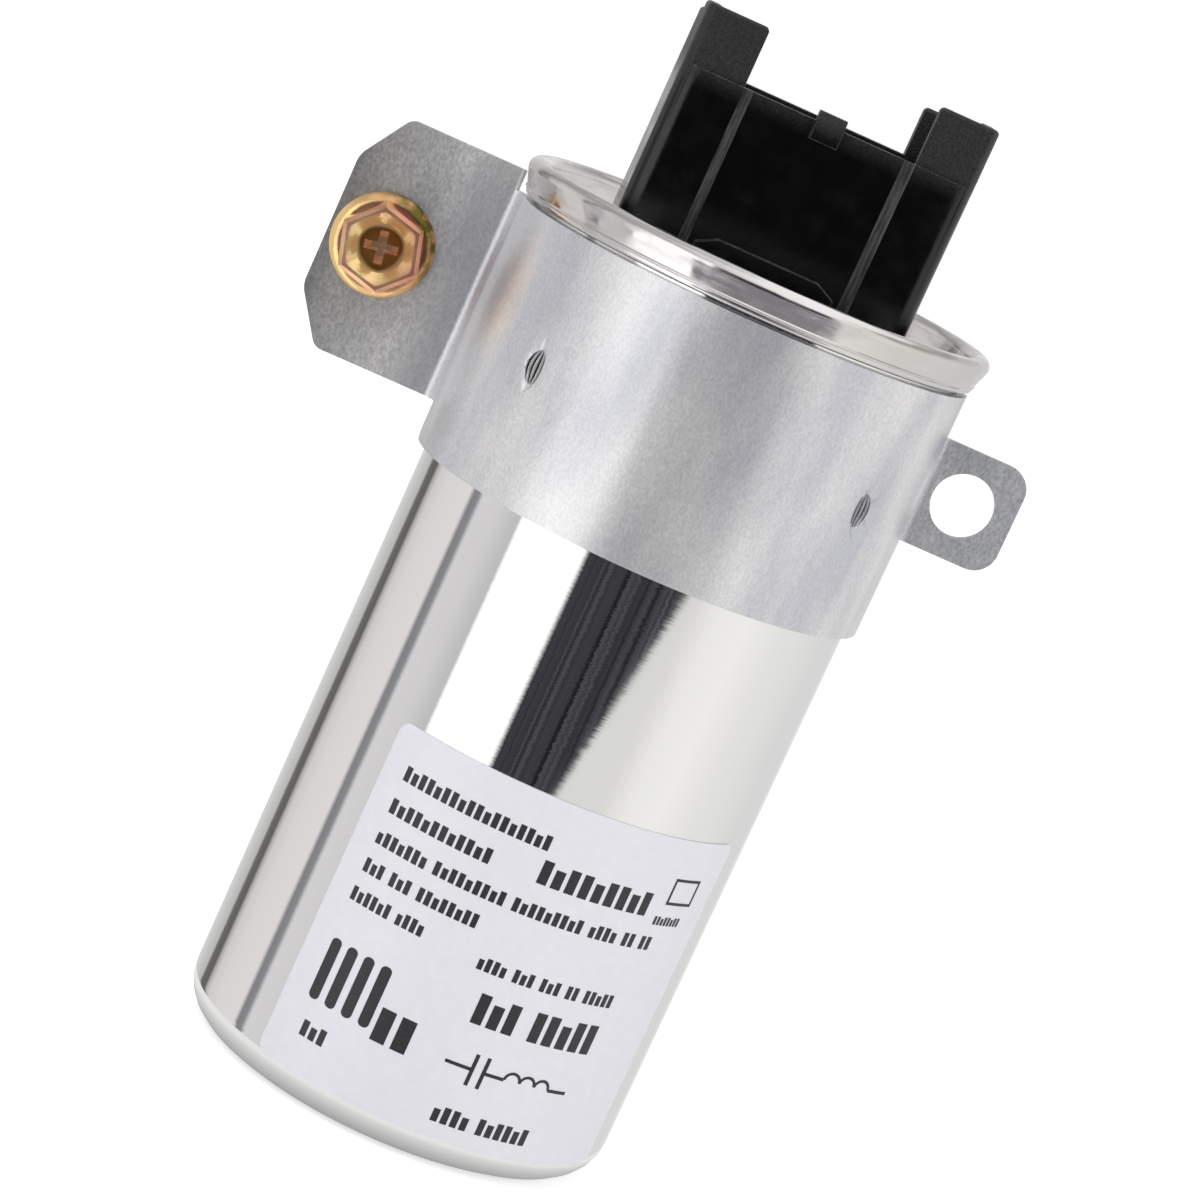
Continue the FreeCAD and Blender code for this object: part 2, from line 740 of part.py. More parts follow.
def make_lead(label, corners):
    """Round wire in the XZ plane, swept along straight runs with round bends."""
    body = new_body(label)
    route = new_sketch(body, "route", "XZ_Plane")
    add_outline(route, corners, closed=False)
    start_across, start_up = corners[0]
    if corners[1][1] is start_up:
        section = new_sketch(body, "section", "YZ_Plane", start_across)
        add_circle(section, ZERO, start_up, size["lead_radius"])
    else:
        section = new_sketch(body, "section", "XY_Plane", start_up)
        add_circle(section, start_across, ZERO, size["lead_radius"])
    doc.recompute()
    wire = body.newObject("PartDesign::AdditivePipe", f"{label}_wire")
    wire.Profile = section
    wire.Spine = (route, [f"Edge{number}" for number in range(1, route.GeometryCount + 1)])
    route.Visibility = False
    section.Visibility = False
    return body


def make_leads():
    """The three wires of the series circuit, each between two pieces that it is soldered to."""
    radius = size["lead_radius"]
    bend = size["lead_bend"]
    low = spray_bottom - radius
    high = spray_top + radius
    beside = size["coil_radius"] + radius + size["snug_fit"]
    crossing = bobbin_top + size["cap_skirt"] / 2
    coil_third = size["coil_height"] / 3
    return [
        make_lead("lead_bottom", [
            (-size["lead_reach"], low), (ZERO, low, bend), (ZERO, crossing, bend),
            (-half_pitch, crossing, bend), (-half_pitch, tail_bottom)]),
        make_lead("lead_top", [
            (size["lead_reach"] - bend * 4, high), (beside, high, bend),
            (beside, coil_bottom + coil_third)]),
        make_lead("lead_choke", [
            (beside, coil_top - coil_third), (beside, crossing, bend),
            (half_pitch, crossing, bend), (half_pitch, tail_bottom)])]


def make_clamp_bracket():
    """Sheet band round the front of the can, bent out into a screw tab and a holed ear."""
    body = new_body("clamp_bracket")
    sheet_size = size["bracket_sheet"]
    inside = size["can_radius"] + size["bracket_fit"]
    outside = inside + sheet_size
    front = size["flange_offset"]
    rear = front + sheet_size
    bend = size["bend_radius"]
    turn = front - bend
    flat_outside = (outside * outside - turn * turn).root()
    flat_inside = (inside * inside - turn * turn).root()
    root = flat_outside + bend
    ear_bottom = band_bottom + size["ear_lift"]
    ear_top = ear_bottom + size["ear_height"]

    band = new_sketch(body, "band", "XY_Plane", band_bottom)
    add_outline(band, [
        (-flat_outside, turn), (ZERO, -outside, outside, True), (flat_outside, turn, outside, True),
        (flat_inside, turn), (ZERO, -inside, inside, False), (-flat_inside, turn, inside, False)])
    raise_pad(body, band, size["band_height"])

    for side, word, bottom, top in ((-1, "tab", tab_bottom, tab_top), (1, "ear", ear_bottom, ear_top)):
        curve = new_sketch(body, f"{word}_bend", "XY_Plane", bottom)
        add_outline(curve, [
            (flat_outside * side, turn), (root * side, front, bend, side < 0),
            (root * side, rear), (flat_inside * side, turn, bend + sheet_size, side > 0)])
        raise_pad(body, curve, top - bottom)

    step = new_sketch(body, "tab_step", "XY_Plane", band_top)
    ahead = size["tab_wrap"].sine()
    aside = size["tab_wrap"].cosine()
    far = (bend + sheet_size) * 2
    add_outline(step, [
        (-root, turn - sheet_size), (-root + far, turn - sheet_size), (-root + far, turn + far),
        (-root + far * ahead, turn + far * aside), (-root, turn)])
    cut_pocket(body, step, tab_top - band_top, reverse=True)

    reach = size["tab_reach"]
    bevel_width = size["tab_bevel_width"]
    bevel_height = size["tab_bevel_height"]
    tab = new_sketch(body, "tab", "XZ_Plane", -rear)
    add_outline(tab, [
        (-root, tab_bottom), (-root, tab_top), (-reach + bevel_width, tab_top),
        (-reach, tab_top - bevel_height), (-reach, tab_bottom + bevel_height),
        (-reach + bevel_width, tab_bottom)])
    raise_pad(body, tab, sheet_size)
    tab_hole = new_sketch(body, "tab_hole", "XZ_Plane", -front)
    add_circle(tab_hole, -size["screw_reach"], screw_level, size["screw_hole_radius"])
    cut_pocket(body, tab_hole, sheet_size)

    corner = size["ear_corner"]
    ear = new_sketch(body, "ear", "XZ_Plane", -rear)
    add_outline(ear, [(root, ear_bottom), (size["ear_reach"], ear_bottom, corner),
                      (size["ear_reach"], ear_top, corner), (root, ear_top)])
    raise_pad(body, ear, sheet_size)
    ear_hole = new_sketch(body, "ear_hole", "XZ_Plane", -front)
    add_circle(ear_hole, size["ear_hole_reach"], (ear_bottom + ear_top) / 2, size["ear_hole_radius"])
    cut_pocket(body, ear_hole, sheet_size)

    round_off = size["band_corner"]
    low_corners = new_sketch(body, "low_corners", "YZ_Plane")
    add_outline(low_corners, [(turn - round_off, band_bottom, round_off, False),
                              (turn, band_bottom), (turn, band_bottom + round_off)])
    cut_pocket(body, low_corners, outside * 3, both_ways=True)
    high_corner = new_sketch(body, "high_corner", "YZ_Plane")
    add_outline(high_corner, [(turn - round_off, band_top, round_off, True),
                              (turn, band_top), (turn, band_top - round_off)])
    cut_pocket(body, high_corner, outside * 2, reverse=True)

    for side, word in ((-1, "left"), (1, "right")):
        cut_stake(body, word, side, outside)
    return body


def cut_stake(body, word, side, outside):
    """One lanced stake in the band: a D-shaped slot, and a dent that runs down to its outer edge."""
    turn = size["stake_angle"] * side
    half = size["stake_width"] / 2
    half_height = size["stake_height"] / 2
    level = band_bottom + size["stake_lift"]
    bow = (size["stake_width"] * size["stake_width"] + half_height * half_height) / size["stake_width"] / 2
    slot = new_sketch(body, f"stake_{word}", "XZ_Plane", turn=turn)
    add_outline(slot, [
        (half * side, level - half_height, bow, side > 0), (half * side, level + half_height),
        (-half * side, level, bow, side > 0)])
    cut_pocket(body, slot, outside * 1.2, reverse=True)
    base = outside - size["stake_dent"]
    doc.recompute()
    before = body.Shape.Volume
    dent = body.newObject("PartDesign::SubtractiveCone", f"{body.Label}_dent_{word}")
    dent.AttachmentSupport = [(origin_item(body, "XZ_Plane"), "")]
    dent.MapMode = "FlatFace"
    dent.AttachmentOffset = FreeCAD.Placement(FreeCAD.Vector(), FreeCAD.Vector(0, 1, 0), turn.value)
    dent.setExpression("AttachmentOffset.Rotation.Angle", turn.formula)
    dent.setExpression("AttachmentOffset.Base.x",
                       (turn.cosine() * half * side + turn.sine() * base).formula)
    dent.setExpression("AttachmentOffset.Base.y", level.formula)
    dent.setExpression("AttachmentOffset.Base.z",
                       (turn.cosine() * base - turn.sine() * half * side).formula)
    dent.setExpression("Radius1", (size["stake_spread"] / 4).formula)
    dent.setExpression("Radius2", size["stake_spread"].formula)
    dent.setExpression("Height", (size["stake_dent"] * 1.2).formula)
    doc.recompute()
    if body.Shape.Volume > before - 1e-3:
        raise ValueError(f"{dent.Name} cuts nothing")


def make_mounting_screw():
    """Hexagon screw with a washer under its head and a recess in its top, drawn pointing down."""
    body = new_body("mounting_screw")
    rim = size["washer_rim"]
    crown = size["washer_crown"]
    head_top = size["hexagon_height"]
    corner_reach = size["hexagon_flats"] / as_size(3).root()
    thread = size["thread_radius"]
    length = size["thread_length"]
    taper = size["thread_taper"]
    profile = new_sketch(body, "profile", "XZ_Plane")
    add_outline(profile, [
        (ZERO, -length), (thread - taper / 2, -length), (thread, -length + taper),
        (thread, -size["neck_length"]), (size["neck_radius"], -size["neck_length"]),
        (size["neck_radius"], ZERO),
        (size["washer_radius"], ZERO), (size["washer_radius"], rim), (corner_reach, crown), (ZERO, crown)])
    revolve(body, profile)

    hexagon = new_sketch(body, "hexagon", "XY_Plane", rim)
    turns = [size["hexagon_turn"] + 60 * number for number in range(6)]
    add_outline(hexagon, [(corner_reach * turn.cosine(), corner_reach * turn.sine()) for turn in turns])
    raise_pad(body, hexagon, head_top - rim)

    chamfer = size["hexagon_chamfer"]
    edge = size["hexagon_flats"] / 2
    top_edge = new_sketch(body, "top_edge", "XZ_Plane")
    add_outline(top_edge, [(edge, head_top), (edge + chamfer * 2, head_top),
                           (edge + chamfer * 2, head_top - chamfer)])
    doc.recompute()
    revolve(body, top_edge, groove=True)

    floor = head_top - size["dish_depth"]
    well = size["pocket_radius"]
    bottom = floor - size["pocket_depth"]
    dish = new_sketch(body, "dish", "XZ_Plane")
    add_outline(dish, [(ZERO, bottom), (well, bottom), (well, floor),
                       (size["dish_radius"], head_top), (ZERO, head_top)])
    doc.recompute()
    revolve(body, dish, groove=True)

    cross = new_sketch(body, "cross", "XY_Plane", bottom)
    arm = size["cross_length"] / 2
    slim = size["cross_width"] / 2
    turn = size["cross_turn"]
    corners = []
    for quarter in range(4):
        heading = turn + 90 * quarter
        for ahead, aside in ((arm, -slim), (arm, slim), (slim, slim)):
            corners.append((heading.cosine() * ahead - heading.sine() * aside,
                            heading.sine() * ahead + heading.cosine() * aside))
    add_outline(cross, corners)
    cut_pocket(body, cross, size["cross_depth"])

    body.Placement = FreeCAD.Placement(FreeCAD.Vector(), FreeCAD.Rotation(FreeCAD.Vector(1, 0, 0), 90))
    place(body, -size["screw_reach"], size["flange_offset"], screw_level)
    return body


def make_rating_label():
    """Printed film on the lower half of the can, with rounded corners."""
    body = new_body("rating_label")
    inside = size["can_radius"] + size["label_gap"]
    outside = inside + size["label_film"]
    bottom = size["label_bottom"]
    top = bottom + size["label_height"]
    corner = size["label_corner"]
    left = size["label_turn"] - size["label_angle"] / 2
    right = size["label_turn"] + size["label_angle"] / 2
    film = new_sketch(body, "film", "XY_Plane", bottom)
    add_outline(film, [
        (outside * left.sine(), -outside * left.cosine()),
        (outside * right.sine(), -outside * right.cosine(), outside, True),
        (inside * right.sine(), -inside * right.cosine()),
        (inside * left.sine(), -inside * left.cosine(), inside, False)])
    raise_pad(body, film, size["label_height"])
    for side, word, turn in ((-1, "left", left), (1, "right", right)):
        corners = new_sketch(body, f"corners_{word}", "XZ_Plane", turn=turn)
        add_outline(corners, [(ZERO, top - corner, corner, side < 0), (ZERO, top), (-corner * side, top)])
        add_outline(corners, [(-corner * side, bottom, corner, side < 0), (ZERO, bottom),
                              (ZERO, bottom + corner)])
        cut_pocket(body, corners, outside * 1.2, reverse=True)
    return body


snug = size["snug_fit"]
pieces = [make_can(), make_cover(), make_seam_seal(), make_connector_housing()]
for side, word in ((-1, "left"), (1, "right")):
    pieces.append(make_terminal_blade(side, word))
    pieces.append(make_terminal_rivet(side, word))
    pieces.append(make_insulator_bush(side, word))
    pieces.append(make_terminal_seal(side, word))
pieces.append(make_base_insulator())
pieces.append(make_ring("winding_core", size["core_bore_radius"], size["core_radius"],
                        spray_bottom, spray_top + size["core_proud"]))
pieces.append(make_ring("end_spray_bottom", size["core_radius"] + snug, size["roll_radius"],
                        spray_bottom, roll_bottom))
pieces.append(make_ring("film_winding", size["core_radius"] + snug, size["roll_radius"],
                        roll_bottom, roll_top))
pieces.append(make_ring("end_spray_top", size["core_radius"] + snug, size["roll_radius"],
                        roll_top, spray_top))
pieces.append(make_ring("winding_wrap", size["roll_radius"] + snug, size["roll_radius"] + snug + size["wrap"],
                        spray_bottom, spray_top + size["wrap_proud"]))
pieces.append(make_choke_bobbin())
pieces.append(make_ring("choke_coil", size["hub_radius"] + snug, size["coil_radius"],
                        coil_bottom + snug, coil_top - snug))
pieces.append(make_interrupter_cap())
pieces.extend(make_leads())
pieces.append(make_clamp_bracket())
pieces.append(make_mounting_screw())
pieces.append(make_rating_label())
doc.recompute()

for item in doc.Objects:
    faults = {"Invalid", "Error"} & set(item.State)
    if faults:
        raise ValueError(f"{item.Label} is {sorted(faults)}")
for piece in pieces:
    shape = piece.Shape
    if shape.isNull() or not shape.isValid() or len(shape.Solids) != 1:
        raise ValueError(f"{piece.Label} is not one sound solid")

os.makedirs("parts", exist_ok=True)
for piece in pieces:
    piece.Shape.exportStep(os.path.join("parts", f"{piece.Label}.step"))
print(len(pieces), "pieces written")
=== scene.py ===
"""Motor run capacitor: aluminium can with a seamed cover, plug socket and clamp bracket.

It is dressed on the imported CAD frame, in metres: +Z up the can, -Y to the front of the bracket.
"""
import math

import bmesh
import bpy
from mathutils import Matrix, Quaternion, Vector


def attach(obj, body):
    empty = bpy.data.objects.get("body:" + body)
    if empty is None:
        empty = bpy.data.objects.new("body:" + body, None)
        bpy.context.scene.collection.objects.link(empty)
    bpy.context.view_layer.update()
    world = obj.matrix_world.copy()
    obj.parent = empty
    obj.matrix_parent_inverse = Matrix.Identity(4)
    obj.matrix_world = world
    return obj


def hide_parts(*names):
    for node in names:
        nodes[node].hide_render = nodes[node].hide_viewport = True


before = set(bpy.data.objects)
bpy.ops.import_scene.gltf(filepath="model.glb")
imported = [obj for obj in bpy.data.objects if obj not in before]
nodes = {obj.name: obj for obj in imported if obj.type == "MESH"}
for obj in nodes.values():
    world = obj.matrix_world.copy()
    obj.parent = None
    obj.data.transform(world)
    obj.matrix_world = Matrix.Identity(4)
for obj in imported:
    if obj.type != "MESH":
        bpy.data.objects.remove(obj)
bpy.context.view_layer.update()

# Can
# Drawn aluminium cup, 45 mm across, ironed and then polished in a lathe, which leaves fine rings
# round it. Its lip is turned out and down, inside the seam that the cover rolls round it.


def paint(code):
    """Linear colour of an sRGB hex value. Anything else stays as it is."""
    if not isinstance(code, str):
        return code
    parts = [int(code[i:i + 2], 16) / 255 for i in (1, 3, 5)]
    return (*[p / 12.92 if p <= 0.04045 else ((p + 0.055) / 1.055) ** 2.4 for p in parts], 1.0)


def feed(tree, node, inputs):
    """Set or link the inputs of a node. A colour is a hex value.

    A Map Range takes its value as 0, the ends of its range as 1 and 2, and what they become as 3 and 4.
    """
    for name, value in inputs.items():
        if isinstance(value, bpy.types.NodeSocket):
            tree.links.new(value, node.inputs[name])
        else:
            node.inputs[name].default_value = paint(value)


def put(tree, kind, inputs=None, stops=(), **settings):
    """Add a node, set its properties and colour stops, and feed its inputs."""
    node = tree.nodes.new(kind)
    for name, value in settings.items():
        setattr(node, name, value)
    if stops:
        while len(node.color_ramp.elements) < len(stops):
            node.color_ramp.elements.new(0.5)
        for element, (place, colour) in zip(node.color_ramp.elements, stops):
            element.position = place
            element.color = paint(colour)
    feed(tree, node, inputs or {})
    return node


def new_material(name):
    """A material with its own shader, and the place on the object that its patterns follow."""
    material = bpy.data.materials.new(name)
    material.use_nodes = True
    tree = material.node_tree
    place = put(tree, "ShaderNodeTexCoord").outputs["Object"]
    return material, tree, tree.nodes["Principled BSDF"], place


def as_object(name, bm, material):
    """Make a mesh an object of the scene, in one material."""
    mesh = bpy.data.meshes.new(name)
    bm.to_mesh(mesh)
    bm.free()
    mesh.materials.append(material)
    made = bpy.data.objects.new(name, mesh)
    bpy.context.scene.collection.objects.link(made)
    return made


def smooth_piece(name, bm, material, stands_for, sharp=32):
    """Close the seams of a mesh, smooth it up to its sharp edges, and hang it on the frame."""
    bmesh.ops.remove_doubles(bm, verts=bm.verts, dist=2e-6)
    bmesh.ops.recalc_face_normals(bm, faces=bm.faces)
    piece = as_object(name, bm, material)
    piece.data.shade_smooth()
    piece.data.set_sharp_from_angle(angle=math.radians(sharp))
    # broad faces set the normals, so that a narrow bevel beside them does not bend their reflections
    weighted = piece.modifiers.new("weighted", "WEIGHTED_NORMAL")
    weighted.weight = 100
    weighted.keep_sharp = True
    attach(piece, "root")
    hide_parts(*stands_for)
    return piece


def round_off(bm, parts, size, segments, affect="EDGES", material=-1):
    """Round off edges or corners by a size in millimetres."""
    bmesh.ops.bevel(bm, geom=parts, offset=size / 1000, offset_type="OFFSET", affect=affect,
                    segments=segments, profile=0.5, material=material, clamp_overlap=(affect == "EDGES"))


def spun(corners, steps=160, fine=6):
    """Spin a closed section of (radius, height, rounding) corners in millimetres round the Z axis."""
    bm = bmesh.new()
    points = [bm.verts.new((r / 1000, 0, z / 1000)) for r, z, _ in corners]
    bm.faces.new(points)
    for point, (_, _, rounding) in zip(points, corners):
        if rounding:
            round_off(bm, [point], rounding, fine, "VERTICES")
    bmesh.ops.delete(bm, geom=bm.faces[:], context="FACES_ONLY")
    axis_edges = [e for e in bm.edges if all(abs(v.co.x) < 1e-7 for v in e.verts)]
    bmesh.ops.delete(bm, geom=axis_edges, context="EDGES")
    bmesh.ops.spin(bm, geom=bm.verts[:] + bm.edges[:], cent=(0, 0, 0), axis=(0, 0, 1), angle=2 * math.pi,
                   steps=steps, use_merge=True)
    return bm


# Polished aluminium, turned: a bright mirror whose edges break up into short strokes round the can
aluminium, tree, shader, place = new_material("polished_aluminium")
split = put(tree, "ShaderNodeSeparateXYZ", {0: place})
bearing = put(tree, "ShaderNodeMath", {0: split.outputs["Y"], 1: split.outputs["X"]}, operation="ARCTAN2")
# strokes about 2 mm long and 0.15 mm wide, coarser than the real grit so that they show
stroke_place = put(tree, "ShaderNodeCombineXYZ", {"X": bearing.outputs[0], "Z": split.outputs["Z"]})
stroke_scale = put(tree, "ShaderNodeVectorMath", {0: stroke_place.outputs[0], 1: (11.0, 1.0, 7000.0)},
                   operation="MULTIPLY")
strokes = put(tree, "ShaderNodeTexNoise", {"Vector": stroke_scale.outputs[0], "Scale": 1.0,
                                           "Detail": 2.0})
centred = put(tree, "ShaderNodeMath", {0: strokes.outputs["Fac"], 1: 0.5}, operation="SUBTRACT")
# the last pass ended near the middle of the front, and they bite deeper to the right of it
bite = put(tree, "ShaderNodeMapRange", {0: bearing.outputs[0], 1: -1.95, 2: -1.65, 3: 0.01, 4: 0.045})
strength = put(tree, "ShaderNodeMath", {0: centred.outputs[0], 1: bite.outputs[0]}, operation="MULTIPLY")
facing = put(tree, "ShaderNodeNewGeometry").outputs["Normal"]
sideways = put(tree, "ShaderNodeVectorMath", {0: facing, 1: (0, 0, 1)}, operation="CROSS_PRODUCT")
lean = put(tree, "ShaderNodeVectorMath", {0: sideways.outputs[0], "Scale": strength.outputs[0]},
           operation="SCALE")
tilted = put(tree, "ShaderNodeVectorMath", {0: facing, 1: lean.outputs[0]}, operation="ADD")
turned = put(tree, "ShaderNodeVectorMath", {0: tilted.outputs[0]}, operation="NORMALIZE")
smear = put(tree, "ShaderNodeTexNoise", {"Vector": place, "Scale": 60.0, "Detail": 3.0})
dull = put(tree, "ShaderNodeMapRange", {0: smear.outputs["Fac"], 3: 0.02, 4: 0.06})
feed(tree, shader, {"Base Color": "#F7F7F6", "Metallic": 1.0, "Roughness": dull.outputs[0],
                    "Normal": turned.outputs[0]})

# the seam's walls lean outwards between two heights, and stand upright above
can_radius, flare_foot, flare_top = 22.5, 88.0, 90.08
can = spun([(0, 0, 0), (can_radius, 0, 4.0), (can_radius, flare_foot, 0), (23.19, flare_top, 0),
            (23.19, 90.3, 0.2), (23.64, 90.3, 0.2), (23.64, flare_top, 0), (22.95, flare_foot, 0),
            (23.35, flare_foot, 0), (24.04, flare_top, 0), (24.04, 90.7, 0.6), (22.79, 90.7, 0.6),
            (22.79, flare_top, 0), (22.1, flare_foot, 0), (22.1, 0.7, 3.6), (0, 0.7, 0)])
smooth_piece("can_shell", can, aluminium, ["can"])

# Cover
# Pressed aluminium end. Its rim is rolled over and under the can's lip in two passes of the seaming
# rollers, which leave it flared, with a bead at its foot. Its deck is sunk 5.6 mm inside the rim.

# Rolled aluminium, left as the tools pressed it: bright, with reflections that ripple and blur in places
rolled, tree, shader, place = new_material("rolled_aluminium")
# soft roller chatter, some 6 mm long round the rim
chatter = put(tree, "ShaderNodeTexNoise", {"Vector": place, "Scale": 170.0, "Detail": 2.0})
chatter_bump = put(tree, "ShaderNodeBump", {"Height": chatter.outputs["Fac"], "Strength": 0.26,
                                            "Distance": 0.0008})
tarnish = put(tree, "ShaderNodeTexNoise", {"Vector": place, "Scale": 60.0, "Detail": 6.0})
tint = put(tree, "ShaderNodeMix", {"Factor": tarnish.outputs["Fac"], "A": "#F8F7F6", "B": "#D2CDCA"},
           data_type="RGBA")
# the rollers left soft scuffs, drawn out round the rim, where the reflections blur
scuffed = put(tree, "ShaderNodeMapping", {"Vector": place, "Scale": (1.0, 1.0, 5.0)})
scuff = put(tree, "ShaderNodeTexNoise", {"Vector": scuffed.outputs[0], "Scale": 300.0, "Detail": 3.0})
blur = put(tree, "ShaderNodeMapRange", {0: scuff.outputs["Fac"], 1: 0.35, 2: 0.65, 3: 0.1, 4: 0.3})
feed(tree, shader, {"Base Color": tint.outputs["Result"], "Metallic": 1.0, "Roughness": blur.outputs[0],
                    "Normal": chatter_bump.outputs[0]})

# from the underside of the deck up into the crown, down and round the fold, and back over the outside
deck_under, deck_top, rim_top = 85.15, 85.5, 91.1
cover = spun([(0, deck_under, 0), (22.05, deck_under, 1.5), (22.05, flare_foot, 0), (22.74, flare_top, 0),
              (22.74, 90.75, 0.6), (24.09, 90.75, 0.6), (24.09, flare_top, 0), (23.4, flare_foot, 0),
              (23.4, 87.75, 0.2), (22.9, 87.75, 0.2), (22.9, flare_foot, 0), (23.5, 89.8, 0),
              (23.15, 89.8, 0), (22.55, flare_foot, 0), (22.55, 87.4, 0.55), (23.75, 87.4, 0.5),
              (23.75, 87.95, 0), (23.94, 88.12, 0.06), (23.84, 88.3, 0), (24.44, 90.06, 0),
              (24.44, rim_top, 1.0), (22.39, rim_top, 1.0), (22.39, flare_top, 0), (21.7, flare_foot, 0),
              (21.7, deck_top, 1.2), (0, deck_top, 0)], fine=7)
smooth_piece("seamed_cover", cover, rolled, ["cover"])

# Plug socket
# Black moulding riveted to the cover: a box with guide prongs at its corners and a small catch on its
# front wall. The mould was spark-eroded on the prongs and polished lower down.

# Black plastic, moulded: deep and glossy where the mould was polished, satin with a grey sparkle above
moulding, tree, shader, place = new_material("black_moulded_plastic")
height = put(tree, "ShaderNodeSeparateXYZ", {0: place}).outputs["Z"]
polished_up_to, eroded_from = 0.1035, 0.1062
upper = put(tree, "ShaderNodeMapRange", {0: height, 1: polished_up_to, 2: eroded_from})
# spark grain of about 0.17 mm
grain = put(tree, "ShaderNodeTexNoise", {"Vector": place, "Scale": 6000.0, "Detail": 2.0})
grain_depth = put(tree, "ShaderNodeMapRange", {0: upper.outputs[0], 3: 0.08, 4: 1.0})
grain_bump = put(tree, "ShaderNodeBump", {"Height": grain.outputs["Fac"], "Distance": 0.00012,
                                          "Strength": grain_depth.outputs[0]})
# handling has smudged the polished part
smudge = put(tree, "ShaderNodeTexNoise", {"Vector": place, "Scale": 420.0, "Detail": 5.0})
polish = put(tree, "ShaderNodeMapRange", {0: smudge.outputs["Fac"], 1: 0.35, 2: 0.7, 3: 0.14, 4: 0.3})
satin = put(tree, "ShaderNodeMix", {"Factor": upper.outputs[0], "A": polish.outputs[0], "B": 0.42})
sharp_grain = put(tree, "ShaderNodeMapRange", {0: grain.outputs["Fac"], 1: 0.42, 2: 0.62})
mottle = put(tree, "ShaderNodeMix", {"Factor": sharp_grain.outputs[0], "A": "#101011", "B": "#272628"},
             data_type="RGBA")
tone = put(tree, "ShaderNodeMix", {"Factor": upper.outputs[0], "A": "#030304",
                                   "B": mottle.outputs["Result"]}, data_type="RGBA")
feed(tree, shader, {"Base Color": tone.outputs["Result"], "Roughness": satin.outputs[0],
                    "Normal": grain_bump.outputs[0]})
# Painted sheen on black plastic: its corners and the slanted sides of its front panel are painted a
# streaky grey for the light they catch
edge_sheen, tree, shader, place = new_material("plastic_edge_painted_sheen")
along = put(tree, "ShaderNodeMapping", {"Vector": place, "Scale": (1.0, 1.0, 0.12)})
scuff = put(tree, "ShaderNodeTexNoise", {"Vector": along.outputs[0], "Scale": 2600.0, "Detail": 3.0})
sheen_streaks = put(tree, "ShaderNodeMapRange", {0: scuff.outputs["Fac"], 1: 0.4, 2: 0.65})
grey = put(tree, "ShaderNodeMix", {"Factor": sheen_streaks.outputs[0], "A": "#1A1A1B", "B": "#4A494B"},
           data_type="RGBA")
feed(tree, shader, {"Base Color": grey.outputs["Result"], "Roughness": 0.35})

socket = bmesh.new()
socket.from_mesh(nodes["connector_housing"].data)
bmesh.ops.remove_doubles(socket, verts=socket.verts, dist=5e-6)
bmesh.ops.dissolve_limit(socket, angle_limit=math.radians(1), verts=socket.verts, edges=socket.edges)


def sharp_edges(bm, degrees, above=0.0):
    """Edges where a mesh turns by more than an angle, above a height in metres."""
    return [e for e in bm.edges if e.is_manifold and e.calc_face_angle(0) > math.radians(degrees)
            and all(v.co.z > above for v in e.verts)]


# the prongs' tops are rounder than the other edges, and every other edge is painted grey for the sheen it
# catches
prong_tips_from = 0.1098
round_off(socket, sharp_edges(socket, 40, prong_tips_from), 0.4, 4)
round_off(socket, sharp_edges(socket, 40), 0.18, 3, material=1)
# the panel's slanted sides, the only large faces that look forwards and sideways, get the same painted
# sheen
socket.normal_update()
for face in socket.faces:
    if face.normal.y < -0.6 and abs(face.normal.x) > 0.6 and face.calc_area() > 8e-6:
        face.material_index = 1
plug_socket = smooth_piece("plug_socket", socket, moulding, ["connector_housing"],
                           sharp=30)
# the second material is the grey of painted sheen on the edges and slanted sides
plug_socket.data.materials.append(edge_sheen)

# Clamp bracket
# Galvanised steel strip, 1 mm thick: blanked flat with its holes and stakes, then rolled round the can
# and bent outwards into a tab for the screw, on the left, and an ear with a hole, on the right.

# Zinc-coated steel sheet: a pale, softly blurred metal with fine flecks
galvanised, tree, shader, place = new_material("galvanised_steel")
# soft clouds in the coat, some 6 mm wide and drawn out upwards
drawn_out = put(tree, "ShaderNodeMapping", {"Vector": place, "Scale": (1.0, 1.0, 0.3)})
cloud = put(tree, "ShaderNodeTexNoise", {"Vector": drawn_out.outputs[0], "Scale": 170.0, "Detail": 4.0})
patchy = put(tree, "ShaderNodeMapRange", {0: cloud.outputs["Fac"], 1: 0.35, 2: 0.65})
zinc = put(tree, "ShaderNodeMix", {"Factor": patchy.outputs[0], "A": "#CFD0D6", "B": "#EDECEB"},
           data_type="RGBA")
# the colour is bright and even on the band, and darker on the ear and towards the far end of the tab
side = put(tree, "ShaderNodeSeparateXYZ", {0: place}).outputs["X"]
side_share = put(tree, "ShaderNodeMapRange", {0: side, 1: -0.045, 2: 0.035})
side_tone = put(tree, "ShaderNodeValToRGB", {"Fac": side_share.outputs[0]}, stops=[
    (0.05, "#949392"), (0.2, "#F6F5F3"), (0.24, "#FFFFFF"), (0.85, "#FFFFFF"), (0.89, "#DADBDD")])
toned = put(tree, "ShaderNodeMix", {"Factor": 1.0, "A": zinc.outputs["Result"],
                                    "B": side_tone.outputs["Color"]},
            data_type="RGBA", blend_type="MULTIPLY")
# zinc flecks of about 0.2 mm, a little drawn out upwards; they show most off the band
on_ear = put(tree, "ShaderNodeMapRange", {0: side, 1: 0.0235, 2: 0.0255})
on_tab = put(tree, "ShaderNodeMapRange", {0: side, 1: -0.0265, 2: -0.03})
outer = put(tree, "ShaderNodeMath", {0: on_ear.outputs[0], 1: on_tab.outputs[0]}, operation="MAXIMUM")
stretched = put(tree, "ShaderNodeMapping", {"Vector": place, "Scale": (1.0, 1.0, 0.6)})
fleck = put(tree, "ShaderNodeTexNoise", {"Vector": stretched.outputs[0], "Scale": 4600.0, "Detail": 4.0})
soft_fleck = put(tree, "ShaderNodeMapRange", {0: fleck.outputs["Fac"], 1: 0.34, 2: 0.66})
darkest = put(tree, "ShaderNodeMix", {"Factor": outer.outputs[0], "A": "#EAEAEC", "B": "#D6D6D5"},
              data_type="RGBA")
